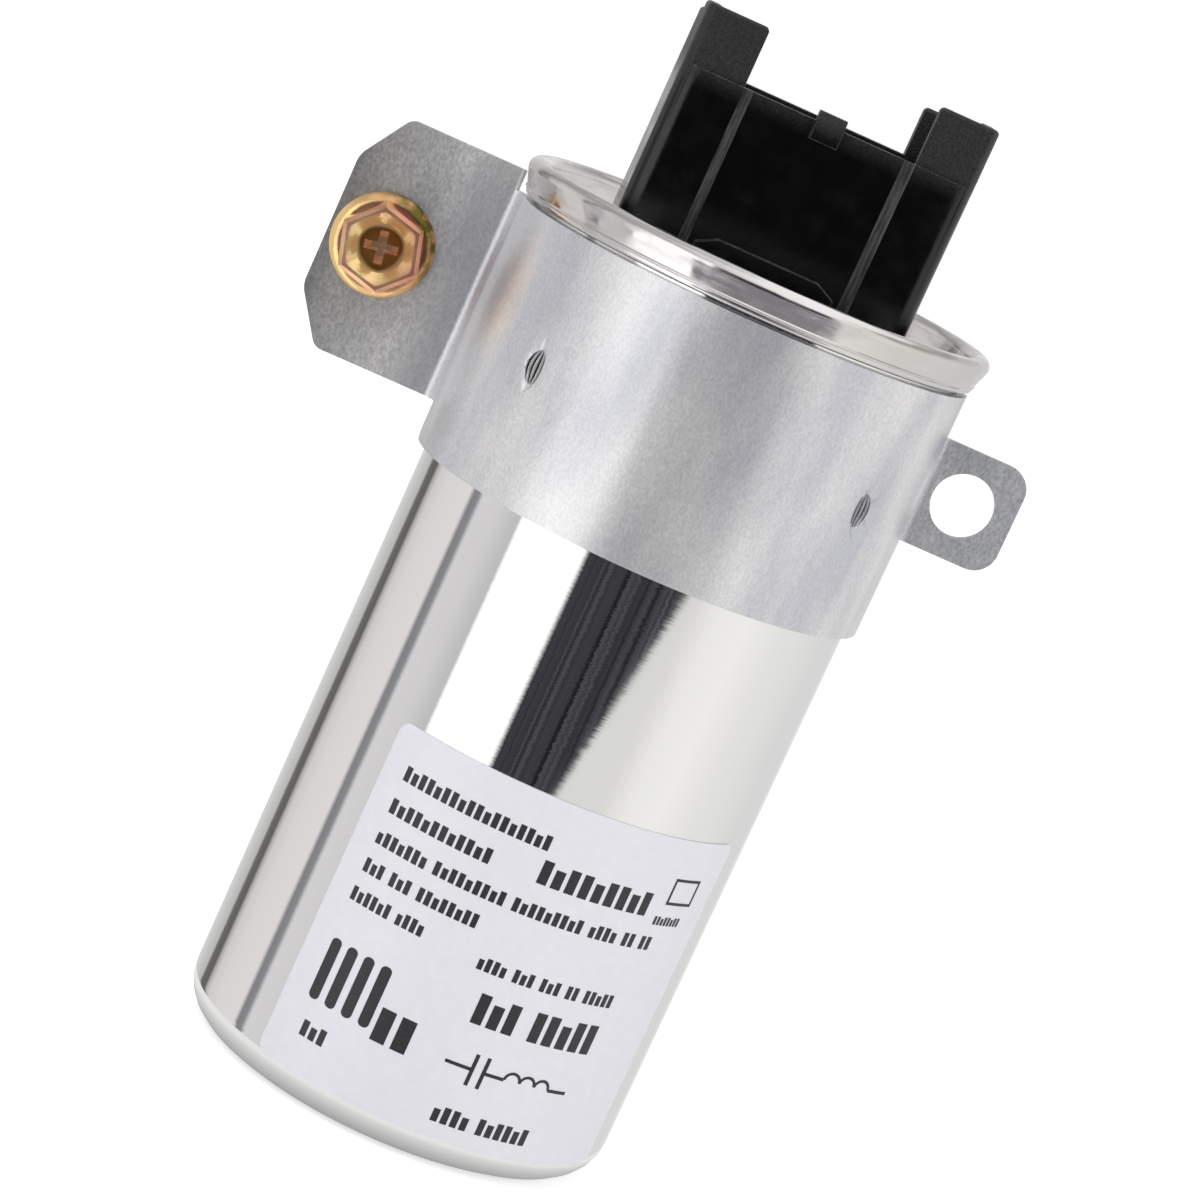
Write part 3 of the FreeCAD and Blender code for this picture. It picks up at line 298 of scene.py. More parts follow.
speck = put(tree, "ShaderNodeMix", {"Factor": soft_fleck.outputs[0], "A": darkest.outputs["Result"],
                                    "B": "#FFFFFF"}, data_type="RGBA")
speckled = put(tree, "ShaderNodeMix", {"Factor": 1.0, "A": toned.outputs["Result"],
                                       "B": speck.outputs["Result"]},
               data_type="RGBA", blend_type="MULTIPLY")
# the ridges that the punch scraped into the stakes keep the sheet's colour, and painted shade darkens the
# grooves between them
ridge_phase = put(tree, "ShaderNodeAttribute", attribute_name="ridge_phase").outputs["Fac"]
groove_shade_mask = put(tree, "ShaderNodeMapRange", {0: ridge_phase, 1: 0.65, 2: 0.25})
groove_shaded = put(tree, "ShaderNodeMix", {"Factor": groove_shade_mask.outputs[0], "A": "#0B0A0A",
                                      "B": speckled.outputs["Result"]}, data_type="RGBA")
rough = put(tree, "ShaderNodeMapRange", {0: fleck.outputs["Fac"], 1: 0.3, 2: 0.7, 3: 0.28, 4: 0.34})
fleck_bump = put(tree, "ShaderNodeBump", {"Height": fleck.outputs["Fac"], "Strength": 0.04,
                                          "Distance": 0.0001})
# zinc patina scatters some light, more so off the band
patina = put(tree, "ShaderNodeMapRange", {0: outer.outputs[0], 3: 0.6, 4: 0.27})
feed(tree, shader, {"Base Color": groove_shaded.outputs["Result"], "Metallic": patina.outputs[0],
                    "Roughness": rough.outputs[0], "Normal": fleck_bump.outputs[0]})

# the strip's middle surface: round the can, round the two bends, and out along the flat ends behind
band_radius, bend_radius, flange_back = 23.06, 1.8, 3.0
lean_in = math.asin((flange_back - bend_radius) / (band_radius + bend_radius))
band_half = band_radius * (math.pi / 2 + lean_in)
flat_start = band_half + bend_radius * (math.pi / 2 + lean_in)
bend_centre = (band_radius + bend_radius) * math.cos(lean_in)
# stands a lying shape up, so that its top faces the front
upright = Matrix.Rotation(math.pi / 2, 4, "X")


def flat_at(reach):
    """Where on the flat strip a point lies that ends up this far to one side of the can's axis."""
    return flat_start + reach - bend_centre


def thicken(bm, thickness):
    """Give a flat upright sheet its thickness in metres, half of it to each side."""
    bmesh.ops.solidify(bm, geom=bm.faces[:], thickness=thickness)
    middle = sum(v.co.y for v in bm.verts) / len(bm.verts)
    bmesh.ops.translate(bm, verts=bm.verts, vec=(0, -middle, 0))


def bend_strip(vert):
    """Move a point of the flat strip, at (along, -depth, height), to its place on the bent one."""
    along, depth = vert.co.x * 1000, -vert.co.y * 1000
    side, run = math.copysign(1, along), abs(along)
    if run < band_half:
        angle = run / band_radius
        x, y = (band_radius + depth) * math.sin(angle), -(band_radius + depth) * math.cos(angle)
    elif run < flat_start:
        angle = math.pi + lean_in - (run - band_half) / bend_radius
        x = bend_centre + (bend_radius - depth) * math.cos(angle)
        y = flange_back - bend_radius + (bend_radius - depth) * math.sin(angle)
    else:
        x, y = bend_centre + run - flat_start, flange_back - depth
    vert.co.x, vert.co.y = side * x / 1000, y / 1000


# the flat outline, as (along, height, rounding): the tab's far corners are cut off, and its top is higher
# than the band's from a step in the left-hand bend
tab_end, ear_end = flat_at(39.7), flat_at(33.8)
tab_bottom, tab_top, cut_across, cut_up = 64.95, 89.15, 3.4, 5.2
tab_step = flat_start - bend_radius * math.radians(18)
band_bottom, band_top, band_corner = 61.4, 87.05, 3.4
ear_bottom, ear_top, ear_corner = 70.85, 82.0, 2.5
outline = [(-tab_end, tab_bottom + cut_up, 0.7), (-tab_end + cut_across, tab_bottom, 0.7),
           (-band_half, tab_bottom, 0), (-band_half, band_bottom, band_corner),
           (band_half, band_bottom, band_corner), (band_half, ear_bottom, 0),
           (ear_end, ear_bottom, ear_corner), (ear_end, ear_top, ear_corner), (band_half, ear_top, 0),
           (band_half, band_top, band_corner), (-tab_step, band_top, 0), (-tab_step, tab_top, 0.15),
           (-tab_end + cut_across, tab_top, 0.7), (-tab_end, tab_top - cut_up, 0.7)]
strip = bmesh.new()
edge_points = [strip.verts.new((along / 1000, 0, z / 1000)) for along, z, _ in outline]
strip.faces.new(edge_points)
for point, (_, _, rounding) in zip(edge_points, outline):
    if rounding:
        round_off(strip, [point], rounding, 8, "VERTICES")
bmesh.ops.delete(strip, geom=strip.faces[:], context="FACES_ONLY")
# the holes in the ear and in the tab, as (along, height, radius)
for along, z, radius in ((flat_at(28.5), 76.43, 3.25), (-flat_at(34.2), 76.85, 2.6)):
    turn = Matrix.Translation((along / 1000, 0, z / 1000)) @ upright
    bmesh.ops.create_circle(strip, cap_ends=False, radius=radius / 1000, segments=40, matrix=turn)
# the stakes lie 45.5 degrees round to each side, and their slots are bowed outwards by 0.3 mm
stake_along, stake_level, slot_bow = band_radius * math.radians(45.5), 74.25, 0.3


def at_stake(side, width, height):
    """A matrix that stands a flat shape up at a stake, stretched in width and height."""
    return (Matrix.Translation((side * stake_along / 1000, 0, stake_level / 1000)) @ upright
            @ Matrix.Diagonal((width, height, 1, 1)))


def from_stake(vert, side, half_height):
    """How far outwards of a stake a point is in millimetres, its share of a height, and the bow there."""
    share = (vert.co.z * 1000 - stake_level) / half_height
    return side * vert.co.x * 1000 - stake_along, share, slot_bow * (1 - share * share)


# round each stake the punch left a star of creases in the sheet
star = [(0.2, 3.4), (-0.95, 1.3), (-1.2, 0), (-0.95, -1.3), (0.2, -3.0), (1.05, -1.2), (2.3, -1.9),
        (1.5, 0), (1.7, 2.6), (1.0, 1.3)]
stars = []
for side in (-1, 1):
    tips = [strip.verts.new(((stake_along + x) * side / 1000, 0, (stake_level + z) / 1000))
            for x, z in star]
    stars.append([strip.edges.new((tips[number - 1], tip)) for number, tip in enumerate(tips)])
bmesh.ops.triangle_fill(strip, edges=strip.edges[:], use_beauty=True, use_dissolve=False,
                        normal=(0, -1, 0))
# the stake itself is a slot in the middle of its star
slot_half = 1.7
for side, creases in zip((-1, 1), stars):
    slot = bmesh.ops.create_circle(strip, cap_ends=False, radius=slot_half / 1000, segments=28,
                                   matrix=at_stake(side, 0.6, 1))["verts"]
    for vert in slot:
        _, _, bow = from_stake(vert, side, slot_half)
        vert.co.x += side * bow / 1000
    bmesh.ops.triangle_fill(strip, edges=creases + list({e for v in slot for e in v.link_edges}),
                            use_beauty=True, use_dissolve=False, normal=(0, -1, 0))
# upright cuts let the band and its two bends curve smoothly
cuts = [band_half * share / 40 for share in range(-40, 41)]
for side in (-1, 1):
    cuts += [side * (band_half + (flat_start - band_half) * share / 8) for share in range(1, 9)]
for cut in cuts:
    bmesh.ops.bisect_plane(strip, geom=strip.verts[:] + strip.edges[:] + strip.faces[:], dist=1e-7,
                           plane_co=(cut / 1000, 0, 0), plane_no=(1, 0, 0))
bmesh.ops.recalc_face_normals(strip, faces=strip.faces)
thicken(strip, 0.001)
round_off(strip, sharp_edges(strip, 60), 0.12, 2)
# dent the outer face at the slots, and fill each with the ridged tongue that bites into the can
dent_half, dent_depth = 1.8, 0.00022
tongue_half, ridge_pitch, ridge_depth = 1.75, 0.58, 0.0002
# each tongue point carries its place across the ridges, from which the material paints shade into the
# grooves
ridge_phase = strip.verts.layers.float.new("ridge_phase")
for side in (-1, 1):
    for vert in strip.verts:
        across, up, bow = from_stake(vert, side, dent_half)
        if vert.co.y < 0 and abs(across - bow) < 1.12 * math.sqrt(max(1 - up * up, 0)):
            vert.co.y += dent_depth
    tongue = bmesh.ops.create_grid(strip, x_segments=40, y_segments=14, size=0.001,
                                   matrix=at_stake(side, 1, 1.72))["verts"]
    for vert in tongue:
        across, up, bow = from_stake(vert, side, tongue_half)
        ridge = math.cos(2 * math.pi * across / ridge_pitch + 0.6)
        vert[ridge_phase] = 0.5 - 0.5 * ridge
        vert.co.x = side * (stake_along + bow + 1.06 * across * math.sqrt(1 - up * up)) / 1000
        vert.co.y = -0.00017 - ridge_depth * ridge
for vert in strip.verts:
    bend_strip(vert)
smooth_piece("bent_bracket", strip, galvanised, ["clamp_bracket"])

# Earthing screw
# Cold-headed hexagon washer screw, plated with yellow zinc. Its head is dished, with a round pocket and
# a cross recess, and its shank is rolled with a coarse thread that runs free behind the tab.
screw_x, screw_z, washer_seat = -0.0342, 0.07685, 0.0025

# Zinc plate under a thin yellow film: a warm, slightly blurred metal
yellow, tree, shader, place = new_material("yellow_zinc")
# the film's colour goes in rings with its thickness: brown in the pocket, gold in the dish, rose on the
# rim and gold on the washer, and their borders wander a little
centre = put(tree, "ShaderNodeVectorMath", {0: place, 1: (screw_x, 0.0, screw_z)}, operation="SUBTRACT")
level = put(tree, "ShaderNodeVectorMath", {0: centre.outputs[0], 1: (1.0, 0.0, 1.0)},
            operation="MULTIPLY")
from_axis = put(tree, "ShaderNodeVectorMath", {0: level.outputs[0]}, operation="LENGTH").outputs["Value"]
film = put(tree, "ShaderNodeTexNoise", {"Vector": place, "Scale": 330.0, "Detail": 1.0})
drift = put(tree, "ShaderNodeMapRange", {0: film.outputs["Fac"], 1: 0.3, 2: 0.7, 3: -0.00012, 4: 0.00012})
ringed = put(tree, "ShaderNodeMath", {0: from_axis, 1: drift.outputs[0]}, operation="ADD")
share = put(tree, "ShaderNodeMapRange", {0: ringed.outputs[0], 1: 0.0, 2: 0.0055})
rings = put(tree, "ShaderNodeValToRGB", {"Fac": share.outputs[0]}, stops=[
    (0.0, "#A9784E"), (0.36, "#A5763F"), (0.41, "#FFE6B4"), (0.57, "#FFE8BC"), (0.63, "#EFC8B4"),
    (0.76, "#D9AC98"), (0.82, "#FFE2B4"), (0.9, "#F8DAA8"), (0.96, "#FFE4C4")])
# painted light: the walls of the cross, deep in the pocket, are painted a bright pale copper so that they
# show lit
depth = put(tree, "ShaderNodeSeparateXYZ", {0: place}).outputs["Y"]
sunk = put(tree, "ShaderNodeMapRange", {0: depth, 1: -0.0003, 2: -0.0001})
inside = put(tree, "ShaderNodeMapRange", {0: from_axis, 1: 0.0021, 2: 0.002})
cross_painted_light = put(tree, "ShaderNodeMath", {0: sunk.outputs[0], 1: inside.outputs[0]}, operation="MULTIPLY")
film_and_lit_cross = put(tree, "ShaderNodeMix", {"Factor": cross_painted_light.outputs[0], "A": rings.outputs["Color"],
                                      "B": "#F6DFCE"}, data_type="RGBA")
# and across the head it goes from gold at the lower left to rose at the upper right
heading = put(tree, "ShaderNodeVectorMath", {0: centre.outputs[0], 1: (0.9, 0.0, 0.5)},
              operation="DOT_PRODUCT")
across = put(tree, "ShaderNodeMapRange", {0: heading.outputs["Value"], 1: -0.003, 2: 0.003})
side_tint = put(tree, "ShaderNodeMix", {"Factor": across.outputs[0], "A": "#FFF5DA", "B": "#EFD0BE"},
                data_type="RGBA")
film_and_lit_cross = put(tree, "ShaderNodeMix", {"Factor": 1.0, "A": film_and_lit_cross.outputs["Result"],
                                      "B": side_tint.outputs["Result"]}, data_type="RGBA",
              blend_type="MULTIPLY")
# olive clouds on the washer's shoulder, thickest at the upper right
moss = put(tree, "ShaderNodeTexNoise", {"Vector": place, "Scale": 700.0, "Detail": 2.0})
cloudy = put(tree, "ShaderNodeMapRange", {0: moss.outputs["Fac"], 1: 0.3, 2: 0.55, 3: 0.2, 4: 1.0})
uphill = put(tree, "ShaderNodeVectorMath", {0: centre.outputs[0], 1: (0.75, 0.0, 0.66)},
             operation="DOT_PRODUCT")
side_cloud = put(tree, "ShaderNodeMapRange", {0: uphill.outputs["Value"], 1: 0.001, 2: 0.004})
on_washer = put(tree, "ShaderNodeMapRange", {0: from_axis, 1: 0.004, 2: 0.0044})
olive = put(tree, "ShaderNodeMath", {0: cloudy.outputs[0], 1: on_washer.outputs[0]}, operation="MULTIPLY")
olive = put(tree, "ShaderNodeMath", {0: olive.outputs[0], 1: side_cloud.outputs[0]}, operation="MULTIPLY")
tinted = put(tree, "ShaderNodeMix", {"Factor": olive.outputs[0], "A": film_and_lit_cross.outputs["Result"],
                                     "B": "#6E6226"}, data_type="RGBA")
pits = put(tree, "ShaderNodeTexNoise", {"Vector": place, "Scale": 2500.0, "Detail": 2.0})
pit_bump = put(tree, "ShaderNodeBump", {"Height": pits.outputs["Fac"], "Strength": 0.2,
                                        "Distance": 0.0001})
# the film over the zinc scatters part of the light
feed(tree, shader, {"Base Color": tinted.outputs["Result"], "Metallic": 0.7, "Roughness": 0.13,
                    "Normal": pit_bump.outputs[0]})


def edges_among(verts):
    """The edges that join these vertices to each other."""
    return list({e for v in verts for e in v.link_edges if all(w in verts for w in e.verts)})


def extruded(bm, edges, rise, scale=1.0):
    """Extrude a closed run of edges by a rise in metres, scale it about the axis, and give its points."""
    sides = bmesh.ops.extrude_edge_only(bm, edges=edges)
    verts = [g for g in sides["geom"] if isinstance(g, bmesh.types.BMVert)]
    bmesh.ops.translate(bm, verts=verts, vec=(0, 0, rise))
    bmesh.ops.scale(bm, verts=verts, vec=(scale, scale, 1))
    return verts


# the screw is made upright, from its point through the shank and the neck in the tab's hole to the washer
screw = spun([(0, -12.0, 0), (1.2, -12.0, 0), (1.9, -10.4, 0), (1.9, -1.2, 0), (2.1, -1.2, 0),
              (2.1, 0, 0), (5.2, 0, 0.15), (5.2, 0.7, 0.3), (4.4, 1.3, 0.3), (0, 1.3, 0)],
             steps=64, fine=3)
# the hexagon, 7.8 mm across its flats, starts inside the washer, and its top edges are chamfered
head_turn, half_flats, head_foot, head_shoulder, head_top = 15.5, 3.9, 0.0007, 0.0041, 0.0044
turn = Matrix.Translation((0, 0, head_foot)) @ Matrix.Rotation(math.radians(head_turn), 4, "Z")
hexagon = bmesh.ops.create_circle(screw, cap_ends=False, radius=half_flats / math.cos(math.pi / 6) / 1000,
                                  segments=6, matrix=turn)["verts"]
shoulder = extruded(screw, edges_among(hexagon), head_shoulder - head_foot)
crown = extruded(screw, edges_among(shoulder), head_top - head_shoulder, 0.9)
# the dish starts as a hexagon with soft corners, and runs down into the round pocket
dish_radius = 0.0033
ring = bmesh.ops.create_circle(screw, cap_ends=False, radius=dish_radius, segments=48,
                               matrix=Matrix.Translation((0, 0, head_top)))["verts"]
for vert in ring:
    off_flat = (math.degrees(math.atan2(vert.co.y, vert.co.x)) - head_turn + 30) % 60 - 30
    reach = min(0.0032 / math.cos(math.radians(off_flat)), 0.0036)
    vert.co.x, vert.co.y = vert.co.x * reach / dish_radius, vert.co.y * reach / dish_radius
ring_edges = edges_among(ring)
bmesh.ops.triangle_fill(screw, edges=edges_among(crown) + ring_edges, use_beauty=True, use_dissolve=False,
                        normal=(0, 0, 1))
dish_floor, pocket_radius, pocket_floor = 3.5, 2.15, 2.9
for radius, z in ((2.4, dish_floor), (pocket_radius, dish_floor), (pocket_radius, pocket_floor)):
    ring = extruded(screw, ring_edges, 0)
    ring_edges = edges_among(ring)
    for vert in ring:
        outwards = Vector((vert.co.x, vert.co.y, 0)).normalized()
        vert.co = outwards * radius / 1000 + Vector((0, 0, z / 1000))
# the cross, with arms 0.9 mm wide, is sunk in the pocket's floor, and its walls slope in to its bottom
near, far = 0.45, 1.75
arms = [(near, -far), (near, -near), (far, -near), (far, near), (near, near), (near, far),
        (-near, far), (-near, near), (-far, near), (-far, -near), (-near, -near), (-near, -far)]
turn = Matrix.Rotation(math.radians(9.5), 4, "Z")
cross = [screw.verts.new(turn @ Vector((x / 1000, y / 1000, pocket_floor / 1000))) for x, y in arms]
cross_edges = [screw.edges.new((cross[i - 1], cross[i])) for i in range(len(cross))]
bmesh.ops.triangle_fill(screw, edges=ring_edges + cross_edges, use_beauty=True, use_dissolve=False,
                        normal=(0, 0, 1))
bmesh.ops.contextual_create(screw, geom=extruded(screw, cross_edges, -0.0012, 0.55))
# the thread is one pointed ridge wound up the shank
pitch, turns, steps_a_turn = 0.0009, 9, 24
tooth = [screw.verts.new((r / 1000, 0, z / 1000)) for r, z in ((1.85, -10.2), (2.4, -9.75), (1.85, -9.3))]
flanks = [screw.edges.new(tooth[0:2]), screw.edges.new(tooth[1:3])]
bmesh.ops.spin(screw, geom=tooth + flanks, cent=(0, 0, 0), axis=(0, 0, 1),
               dvec=(0, 0, pitch / steps_a_turn), angle=2 * math.pi * turns, steps=steps_a_turn * turns)
bmesh.ops.transform(screw, verts=screw.verts,
                    matrix=Matrix.Translation((screw_x, washer_seat, screw_z)) @ upright)
smooth_piece("washer_screw", screw, yellow, ["mounting_screw"])

# Rating label
# White film label, 40 by 35 mm, rolled on to the lower half of the can. It carries rows of plain bars in
# black, and the usual sign for a capacitor with a coil in series.

# Coated polyester film: an even, cool white with a satin surface
label_film, tree, shader, place = new_material("white_label_film")
fibre = put(tree, "ShaderNodeTexNoise", {"Vector": place, "Scale": 900.0, "Detail": 3.0})
white = put(tree, "ShaderNodeMix", {"Factor": fibre.outputs["Fac"], "A": "#D3D2D9", "B": "#DBDBE1"},
            data_type="RGBA")
feed(tree, shader, {"Base Color": white.outputs["Result"], "Roughness": 0.38})

# Ink from a transfer ribbon: a soft black, flatter than the film
ink, tree, shader, place = new_material("printed_ink")
dots = put(tree, "ShaderNodeTexNoise", {"Vector": place, "Scale": 5000.0, "Detail": 1.0})
black = put(tree, "ShaderNodeMix", {"Factor": dots.outputs["Fac"], "A": "#1F1F22", "B": "#343438"},
            data_type="RGBA")
feed(tree, shader, {"Base Color": black.outputs["Result"], "Roughness": 0.5})


def wrap_round(verts, radius):
    """Roll flat points at (arc, depth, height) on to the can; arc is measured from the label's middle."""
    for vert in verts:
        angle = label_turn + vert.co.x / (can_radius / 1000)
        reach = radius / 1000 - vert.co.y
        vert.co.x, vert.co.y = reach * math.sin(angle), -reach * math.cos(angle)


def flat_patch(bm, left, bottom, right, top, rounding=0.0, steps=1):
    """Add a flat rectangle in millimetres with round corners, cut upright so that it can be rolled."""
    others = set(bm.verts)
    corners = [bm.verts.new((x / 1000, 0, z / 1000))
               for x, z in ((left, bottom), (right, bottom), (right, top), (left, top))]
    bm.faces.new(corners)
    if rounding:
        round_off(bm, corners, rounding, 6, "VERTICES")
    for step in range(1, steps):
        part = [v for v in bm.verts if v not in others]
        geom = list({g for v in part for g in (v, *v.link_edges, *v.link_faces)})
        bmesh.ops.bisect_plane(bm, geom=geom, dist=1e-8, plane_no=(1, 0, 0),
                               plane_co=((left + (right - left) * step / steps) / 1000, 0, 0))


# the label's middle, half its length round the can, and the radii that the film and the ink lie at
label_turn = math.radians(11.5)
half_arc = can_radius * math.radians(51.3)
film_radius, ink_radius = 22.57, 22.635
label = bmesh.new()
flat_patch(label, -half_arc, 3.3, half_arc, 38.7, rounding=1.2, steps=52)
thicken(label, 0.0001)
wrap_round(label.verts, film_radius)
smooth_piece("label_sheet", label, label_film, ["rating_label"])

# Each row holds groups of narrow bars: where the row starts, its level, its height, the width of a bar,
# and how many bars each group has
bar_rows = [
    (2.6, 33.6, 1.5, 0.62, [18]), (2.6, 30.2, 1.5, 0.66, [12]),
    (2.6, 27.0, 1.4, 0.59, [7, 9, 9, 4, 2, 2]), (2.6, 24.0, 1.4, 0.57, [3, 3, 8]),
    (2.6, 21.0, 1.4, 0.54, [6, 4]), (18.4, 30.4, 2.4, 1.0, [9]),
    (16.6, 20.5, 1.35, 0.54, [4, 3, 3, 2, 5]), (10.2, 9.9, 3.4, 1.5, [2]),
    (3.6, 6.9, 1.6, 0.7, [3]), (18.2, 15.4, 3.1, 1.12, [3, 5]),
    (18.6, 5.0, 1.7, 0.7, [4, 6]), (32.3, 29.7, 0.9, 0.36, [8]),
]
# in widths of a bar: from one bar to the next, and the gap after a group
bar_spacing, group_gap = 1.42, 1.1
bars = bmesh.new()
for reach, bottom, tall, wide, groups in bar_rows:
    for group in groups:
        for bar in range(group):
            # every third bar is lower, which gives a group an uneven edge
            top = bottom + tall * (0.78 if (bar + group) % 3 == 1 else 1)
            flat_patch(bars, reach - half_arc, bottom, reach + wide - half_arc, top,
                       steps=1 + round(wide))
            reach += wide * bar_spacing
        reach += wide * group_gap
# two pairs of heavy posts stand at the left
for post in (2.8, 4.7, 6.6, 8.5):
    flat_patch(bars, post - half_arc, 10.6, post + 1.15 - half_arc, 17.0, rounding=0.5, steps=2)
# the four sides of a plain frame at the upper right, then the sign's lead, two plates and two more leads
for left, bottom, right, top in (
        (32.9, 31.9, 36.9, 32.2), (32.9, 34.4, 36.9, 34.7), (32.9, 31.9, 33.2, 34.7),
        (36.6, 31.9, 36.9, 34.7), (17.6, 10.9, 20.2, 11.25), (20.2, 9.4, 20.6, 12.7),
        (21.4, 9.4, 21.8, 12.7), (21.8, 10.9, 23.8, 11.25), (28.9, 10.9, 31.2, 11.25)):
    flat_patch(bars, left - half_arc, bottom, right - half_arc, top, steps=max(1, round(right - left)))
# the coil is a row of three humps, spun in the plane of the film
first_hump, hump_spacing, hump_level = 24.65, 1.7, 11.1
for hump in range(3):
    middle = (first_hump + hump * hump_spacing - half_arc) / 1000
    ends = [bars.verts.new((middle - radius / 1000, 0, hump_level / 1000)) for radius in (0.98, 0.68)]
    rung = bars.edges.new(ends)
    bmesh.ops.spin(bars, geom=[*ends, rung], cent=(middle, 0, hump_level / 1000), axis=(0, 1, 0),
                   angle=math.pi, steps=12)
wrap_round(bars.verts, ink_radius)
bmesh.ops.recalc_face_normals(bars, faces=bars.faces)
label_print = as_object("label_print", bars, ink)
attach(label_print, "root")

# Terminals
# Tinned brass blades, bent from strip and riveted through the socket, the cover and an insulating bush.
# A rubber ring under the cover keeps the oil in, and a compound like it fills the fold of the seam.


def plain_finish(name, first, second, metal, roughness, scale, relief):
    """A finish with two close colours and a fine relief, at a number of spots to the metre."""
    material, tree, shader, place = new_material(name)
    spots = put(tree, "ShaderNodeTexNoise", {"Vector": place, "Scale": scale, "Detail": 3.0})
    tone = put(tree, "ShaderNodeMix", {"Factor": spots.outputs["Fac"], "A": first, "B": second},
               data_type="RGBA")
    bump = put(tree, "ShaderNodeBump", {"Height": spots.outputs["Fac"], "Strength": relief,
                                        "Distance": 0.0002})
    feed(tree, shader, {"Base Color": tone.outputs["Result"], "Metallic": metal, "Roughness": roughness,
                        "Normal": bump.outputs[0]})
    return material


def dress(finish, *names):
    """Give CAD nodes a finish through their material slots."""
    for name in names:
        nodes[name].data.materials.clear()
        nodes[name].data.materials.append(finish)


dress(plain_finish("bright_tin_plate", "#C9C8C4", "#DAD9D5", 1.0, 0.26, 900, 0.2),
      "terminal_blade_left", "terminal_blade_right")
dress(plain_finish("nickel_plated_steel", "#B9B7B2", "#CFCDC9", 1.0, 0.3, 700, 0.2),
      "terminal_rivet_left", "terminal_rivet_right")
dress(plain_finish("moulded_nylon", "#1E1E20", "#29292B", 0.0, 0.5, 2500, 0.3),
      "insulator_bush_left", "insulator_bush_right")
dress(plain_finish("black_rubber", "#141414", "#1C1C1C", 0.0, 0.7, 2500, 0.4),
      "terminal_seal_left", "terminal_seal_right", "seam_seal")

# Pieces inside the can
# The film roll stands on a moulded cup, with zinc sprayed on both ends. The choke's bobbin sits on it
# under the interrupter cap, and bare tinned wires join them to the rivets.
dress(plain_finish("metallised_film", "#9FA2A8", "#B5B8BD", 0.6, 0.3, 300, 0.1), "film_winding")
dress(plain_finish("sprayed_zinc", "#6F7072", "#8E8F91", 0.9, 0.75, 2600, 0.9),
      "end_spray_top", "end_spray_bottom")
dress(plain_finish("wrapping_film", "#CDBB86", "#DCCD9E", 0.0, 0.3, 200, 0.1), "winding_wrap")
dress(plain_finish("natural_polypropylene", "#DAD7CC", "#E6E3DA", 0.0, 0.45, 1500, 0.2),
      "winding_core", "base_insulator", "interrupter_cap")
dress(plain_finish("glass_filled_polyester", "#3B3934", "#4A4741", 0.0, 0.55, 1800, 0.3), "choke_bobbin")
dress(plain_finish("enamelled_copper_wire", "#8E4A22", "#B4683A", 0.8, 0.35, 1200, 0.6), "choke_coil")
dress(plain_finish("tinned_copper_wire", "#B9B2A6", "#CEC8BD", 1.0, 0.3, 1500, 0.2),
      "lead_bottom", "lead_top", "lead_choke")

# Floor
# White paper that the capacitor stands on. It shows white to the camera, and takes a faint shadow at
# the foot of the can.
paper, tree, shader, place = new_material("white_paper")
tooth_of_paper = put(tree, "ShaderNodeTexNoise", {"Vector": place, "Scale": 300.0, "Detail": 2.0})
sheet = put(tree, "ShaderNodeMix", {"Factor": tooth_of_paper.outputs["Fac"], "A": "#F4F4F4",
                                    "B": "#F9F9F9"}, data_type="RGBA")
feed(tree, shader, {"Base Color": sheet.outputs["Result"], "Roughness": 0.9, "Specular IOR Level": 0.0})
# a glow of its own keeps it white under the soft light
glow = put(tree, "ShaderNodeEmission", {"Color": (1, 1, 1, 1), "Strength": 0.5})
both = put(tree, "ShaderNodeAddShader", {0: shader.outputs[0], 1: glow.outputs[0]})
rays = put(tree, "ShaderNodeLightPath")
clear = put(tree, "ShaderNodeBsdfTransparent")
# the polished foot mirrors the sheet within 27.5 mm of the can's axis, darker where the can shades it,
# and the metal above mirrors only the room
from_axis = put(tree, "ShaderNodeVectorMath", {0: place}, operation="LENGTH")
off_foot = put(tree, "ShaderNodeMapRange", {0: from_axis.outputs["Value"], 1: 0.0195, 2: 0.025})
shade = put(tree, "ShaderNodeMix", {"Factor": off_foot.outputs[0], "A": "#9E9E9F", "B": "#EAEAE9"},
            data_type="RGBA")
shaded = put(tree, "ShaderNodeEmission", {"Color": shade.outputs["Result"], "Strength": 1.0})
close_by = put(tree, "ShaderNodeMixShader", {0: rays.outputs["Is Glossy Ray"], 1: both.outputs[0],
                                             2: shaded.outputs[0]})
beyond = put(tree, "ShaderNodeMath", {0: from_axis.outputs["Value"], 1: 0.0275}, operation="GREATER_THAN")
mirrored_through = put(tree, "ShaderNodeMath", {0: rays.outputs["Is Glossy Ray"], 1: beyond.outputs[0]},
                       operation="MULTIPLY")
seen = put(tree, "ShaderNodeMixShader", {0: mirrored_through.outputs[0], 1: close_by.outputs[0],
                                         2: clear.outputs[0]})
feed(tree, tree.nodes["Material Output"], {"Surface": seen.outputs[0]})
ground = bmesh.new()
bmesh.ops.create_circle(ground, cap_ends=True, radius=6.0, segments=64,
                        matrix=Matrix.Translation((0, 0, -0.00005)))
floor = as_object("paper_floor", ground, paper)

# Studio
# A white room. Polished metal mirrors it: a broad white wall, grey walls, and the dark open end behind
# the camera, whose right edge slants with height.
world = bpy.data.worlds.new("studio")
bpy.context.scene.world = world
world.use_nodes = True
tree = world.node_tree
tree.nodes.clear()
toward = put(tree, "ShaderNodeTexCoord").outputs["Generated"]
split = put(tree, "ShaderNodeSeparateXYZ", {0: toward})
minus_y = put(tree, "ShaderNodeMath", {0: split.outputs["Y"], 1: -1.0}, operation="MULTIPLY")
bearing = put(tree, "ShaderNodeMath", {0: split.outputs["X"], 1: minus_y.outputs[0]}, operation="ARCTAN2")
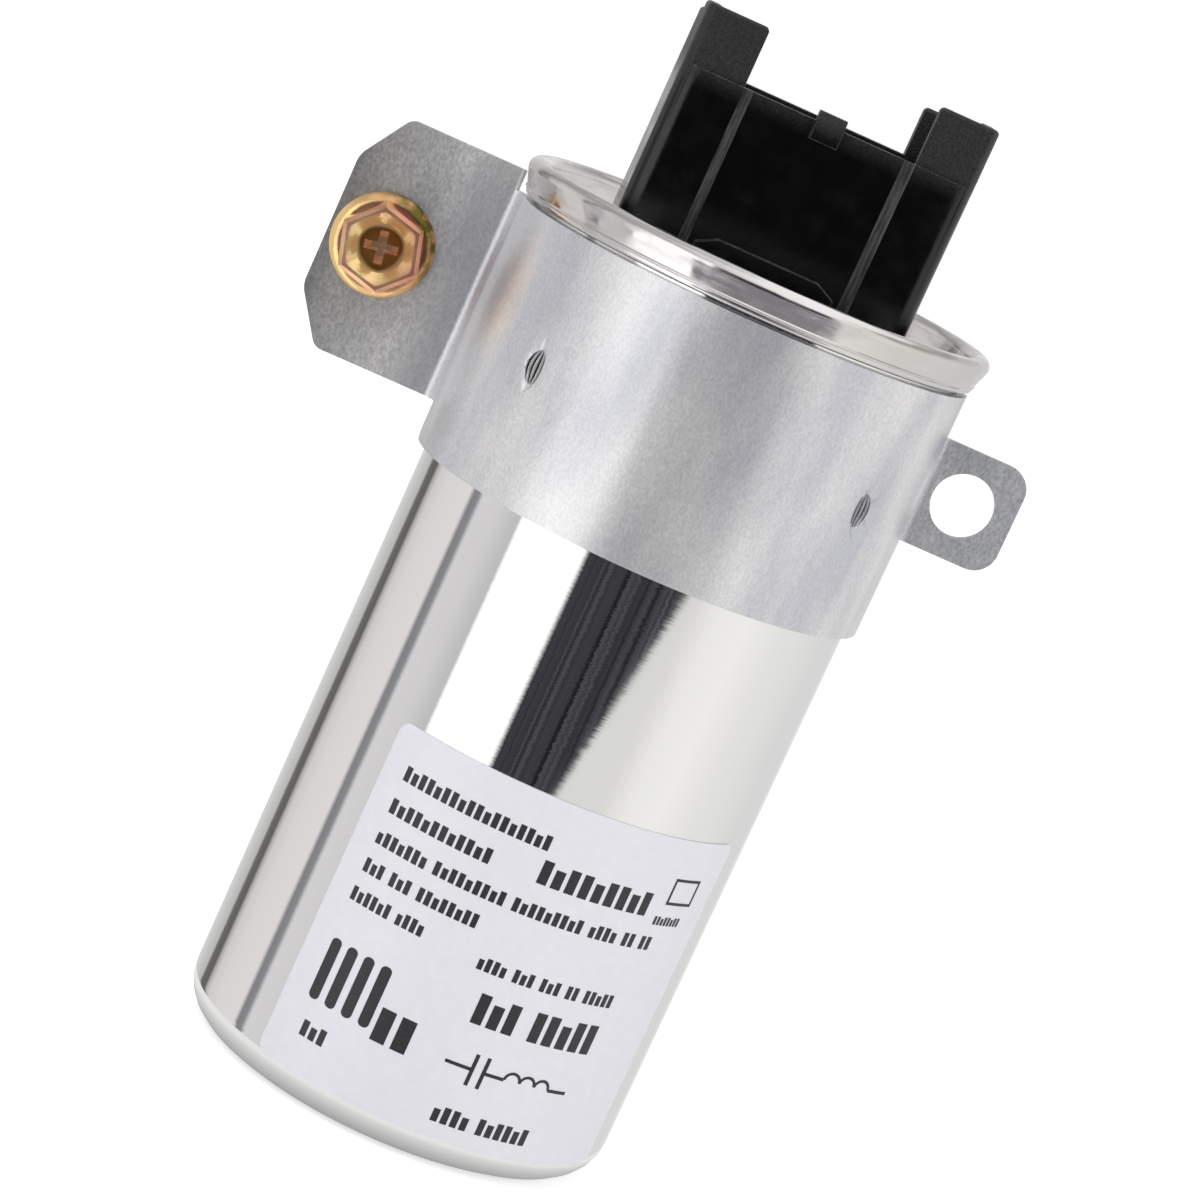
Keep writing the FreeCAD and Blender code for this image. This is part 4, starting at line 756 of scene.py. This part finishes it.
# low down everything is turned by 0.17 radians, as on the tabletop in front of the walls
lower = put(tree, "ShaderNodeMapRange", {0: split.outputs["Z"], 1: -0.35, 2: -0.6})
turn = put(tree, "ShaderNodeMath", {0: lower.outputs[0], 1: 0.17}, operation="MULTIPLY")
bearing = put(tree, "ShaderNodeMath", {0: bearing.outputs[0], 1: turn.outputs[0]}, operation="ADD")
share = put(tree, "ShaderNodeMapRange", {0: bearing.outputs[0], 1: -math.pi, 2: math.pi})


def wall(degrees):
    """The place of a bearing on a ramp that runs once round the room."""
    return (degrees + 180) / 360


# the broad white wall is lit, and brighter than paper
lit_wall = (1.25, 1.25, 1.25, 1)
walls = put(tree, "ShaderNodeValToRGB", {"Fac": share.outputs[0]}, stops=[
    (0.0, "#D2D2D2"), (wall(-170), "#CCCCCC"), (wall(-158), "#C1C1C0"), (wall(-146), "#B5B4B1"),
    (wall(-144), "#6A6966"), (wall(-136), "#5E5D5B"), (wall(-133.5), "#A8A6A4"),
    (wall(-129), "#CAC8C7"), (wall(-117), "#D4D2D1"), (wall(-98), "#D8D4D4"), (wall(-96), "#7E7E81"),
    (wall(-91.5), "#85858A"), (wall(-89), "#CFCDCE"), (wall(-76), "#CBC9CA"), (wall(-63), "#B9B8B9"),
    (wall(-61), lit_wall), (wall(-28), lit_wall), (wall(-22), "#D4D4D2"), (wall(36), "#D6D5D3"),
    (wall(48), "#E6E5E2"), (wall(66), "#EAE9E7"), (wall(88), "#E0DFDD"), (wall(108), "#DADAD9"),
    (wall(130), "#D2D2D2"), (wall(152), "#D0D0D0"), (wall(168), "#E6E6E6"), (1.0, "#D6D6D6")])
# overhead it is bright in front and grey to both sides
overhead = put(tree, "ShaderNodeValToRGB", {"Fac": share.outputs[0]}, stops=[
    (0.0, "#A4A3A1"), (wall(-70), "#A09F9E"), (wall(-35), "#BCBBBF"), (wall(0), "#F6F6F4"),
    (wall(45), "#F8F8F6"), (wall(75), "#A4A3A2"), (wall(130), "#979693"), (1.0, "#B0AFAD")])
above = put(tree, "ShaderNodeMapRange", {0: split.outputs["Z"], 1: 0.3, 2: 0.6})
ceiling = put(tree, "ShaderNodeValToRGB", {"Fac": share.outputs[0]}, stops=[
    (0.0, "#D2D2D4"), (wall(-165), "#D0D0D4"), (wall(-100), "#AAA9A9"), (wall(0), "#F8F8F7"),
    (wall(172), "#FBFBFA"), (1.0, "#E0E0E2")])
high = put(tree, "ShaderNodeMapRange", {0: split.outputs["Z"], 1: 0.67, 2: 0.76})
top = put(tree, "ShaderNodeMix", {"Factor": high.outputs[0], "A": overhead.outputs["Color"],
                                  "B": ceiling.outputs["Color"]}, data_type="RGBA")
shell = put(tree, "ShaderNodeMix", {"Factor": above.outputs[0], "A": walls.outputs["Color"],
                                    "B": top.outputs["Result"]}, data_type="RGBA")
# the dark opening runs from -24 degrees to an edge that slants with height, and widens again low down
slant = put(tree, "ShaderNodeMath", {0: split.outputs["Z"], 1: 6.0, 2: 1.54}, operation="MULTIPLY_ADD")
low_slant = put(tree, "ShaderNodeMath", {0: split.outputs["Z"], 1: -3.0, 2: -0.75},
                operation="MULTIPLY_ADD")
right_edge = put(tree, "ShaderNodeMath", {0: slant.outputs[0], 1: low_slant.outputs[0]},
                 operation="MAXIMUM")
widest = put(tree, "ShaderNodeMath", {0: lower.outputs[0], 1: 0.36, 2: 0.62}, operation="MULTIPLY_ADD")
right_edge = put(tree, "ShaderNodeMath", {0: right_edge.outputs[0], 1: widest.outputs[0]},
                 operation="MINIMUM")
past = put(tree, "ShaderNodeMath", {0: right_edge.outputs[0], 1: bearing.outputs[0]},
           operation="SUBTRACT")
before_right = put(tree, "ShaderNodeMapRange", {0: past.outputs[0], 1: -0.03, 2: 0.03})
after_left = put(tree, "ShaderNodeMapRange", {0: bearing.outputs[0], 1: math.radians(-25.0),
                                              2: math.radians(-22.5)})
below_lintel = put(tree, "ShaderNodeMapRange", {0: split.outputs["Z"], 1: 0.45, 2: 0.3})
above_table = put(tree, "ShaderNodeMapRange", {0: split.outputs["Z"], 1: -0.86, 2: -0.76})
opening = before_right
for limit in (after_left, below_lintel, above_table):
    opening = put(tree, "ShaderNodeMath", {0: opening.outputs[0], 1: limit.outputs[0]},
                  operation="MULTIPLY")
# dark folds hang in it, and its foot is grey
folds = put(tree, "ShaderNodeTexNoise", {"W": bearing.outputs[0], "Scale": 20.0, "Detail": 2.5},
            noise_dimensions="1D")
deep_folds = put(tree, "ShaderNodeMapRange", {0: folds.outputs["Fac"], 1: 0.32, 2: 0.7})
dark = put(tree, "ShaderNodeMix", {"Factor": deep_folds.outputs[0], "A": "#17161B", "B": "#4E4E53"},
           data_type="RGBA")
dark = put(tree, "ShaderNodeMix", {"Factor": lower.outputs[0], "A": dark.outputs["Result"],
                                   "B": "#828187"}, data_type="RGBA")
room = put(tree, "ShaderNodeMix", {"Factor": opening.outputs[0], "A": shell.outputs["Result"],
                                   "B": dark.outputs["Result"]}, data_type="RGBA")
# polished metal mirrors the room, everything is lit evenly, and the camera sees white
mirrored = put(tree, "ShaderNodeBackground", {"Color": room.outputs["Result"], "Strength": 1.1})
lighting = put(tree, "ShaderNodeBackground", {"Color": (1, 1, 1, 1), "Strength": 0.55})
backdrop = put(tree, "ShaderNodeBackground", {"Color": (1, 1, 1, 1), "Strength": 1.0})
rays = put(tree, "ShaderNodeLightPath")
shown = put(tree, "ShaderNodeMath", {0: rays.outputs["Is Camera Ray"],
                                     1: rays.outputs["Is Transmission Ray"]}, operation="MAXIMUM")
for_metal = put(tree, "ShaderNodeMixShader", {0: rays.outputs["Is Glossy Ray"], 1: lighting.outputs[0],
                                              2: mirrored.outputs[0]})
for_all = put(tree, "ShaderNodeMixShader", {0: shown.outputs[0], 1: for_metal.outputs[0],
                                            2: backdrop.outputs[0]})
put(tree, "ShaderNodeOutputWorld", {"Surface": for_all.outputs[0]})
# three square soft boxes face the middle of the can, and polished metal does not mirror them
can_middle = Vector((0, 0, 0.05))
for name, place, size, power in (("key_box", (-0.5, -0.6, 0.8), 0.6, 3.0),
                                 ("fill_box", (0.7, -0.4, 0.5), 0.6, 1.5),
                                 ("top_box", (0.0, 0.3, 0.9), 0.7, 2.0)):
    light = bpy.data.lights.new(name, "AREA")
    light.size = size
    light.energy = power
    lamp = bpy.data.objects.new(name, light)
    lamp.location = place
    lamp.rotation_euler = (can_middle - lamp.location).to_track_quat("-Z", "Y").to_euler()
    lamp.visible_glossy = False
    bpy.context.scene.collection.objects.link(lamp)

# Camera
# It stands 388 mm from the can's axis and 120 mm up, looks down by 9.7 degrees, and leans by 24.5
# degrees, with a field of 17.1 degrees.
camera_data = bpy.data.cameras.new("camera")
camera_data.sensor_width = 36.0
camera_data.lens = 119.94
camera_data.clip_start = 0.01
camera_data.clip_end = 20.0
camera = bpy.data.objects.new("camera", camera_data)
bpy.context.scene.collection.objects.link(camera)
camera.location = (-0.03721, -0.38649, 0.11984)
ahead = Vector((0.092897, 0.981414, -0.167921))
camera.rotation_mode = "QUATERNION"
camera.rotation_quaternion = ahead.to_track_quat("-Z", "Y") @ Quaternion((0, 0, 1), math.radians(24.509))
bpy.context.scene.camera = camera
bpy.context.scene.view_settings.view_transform = "Standard"
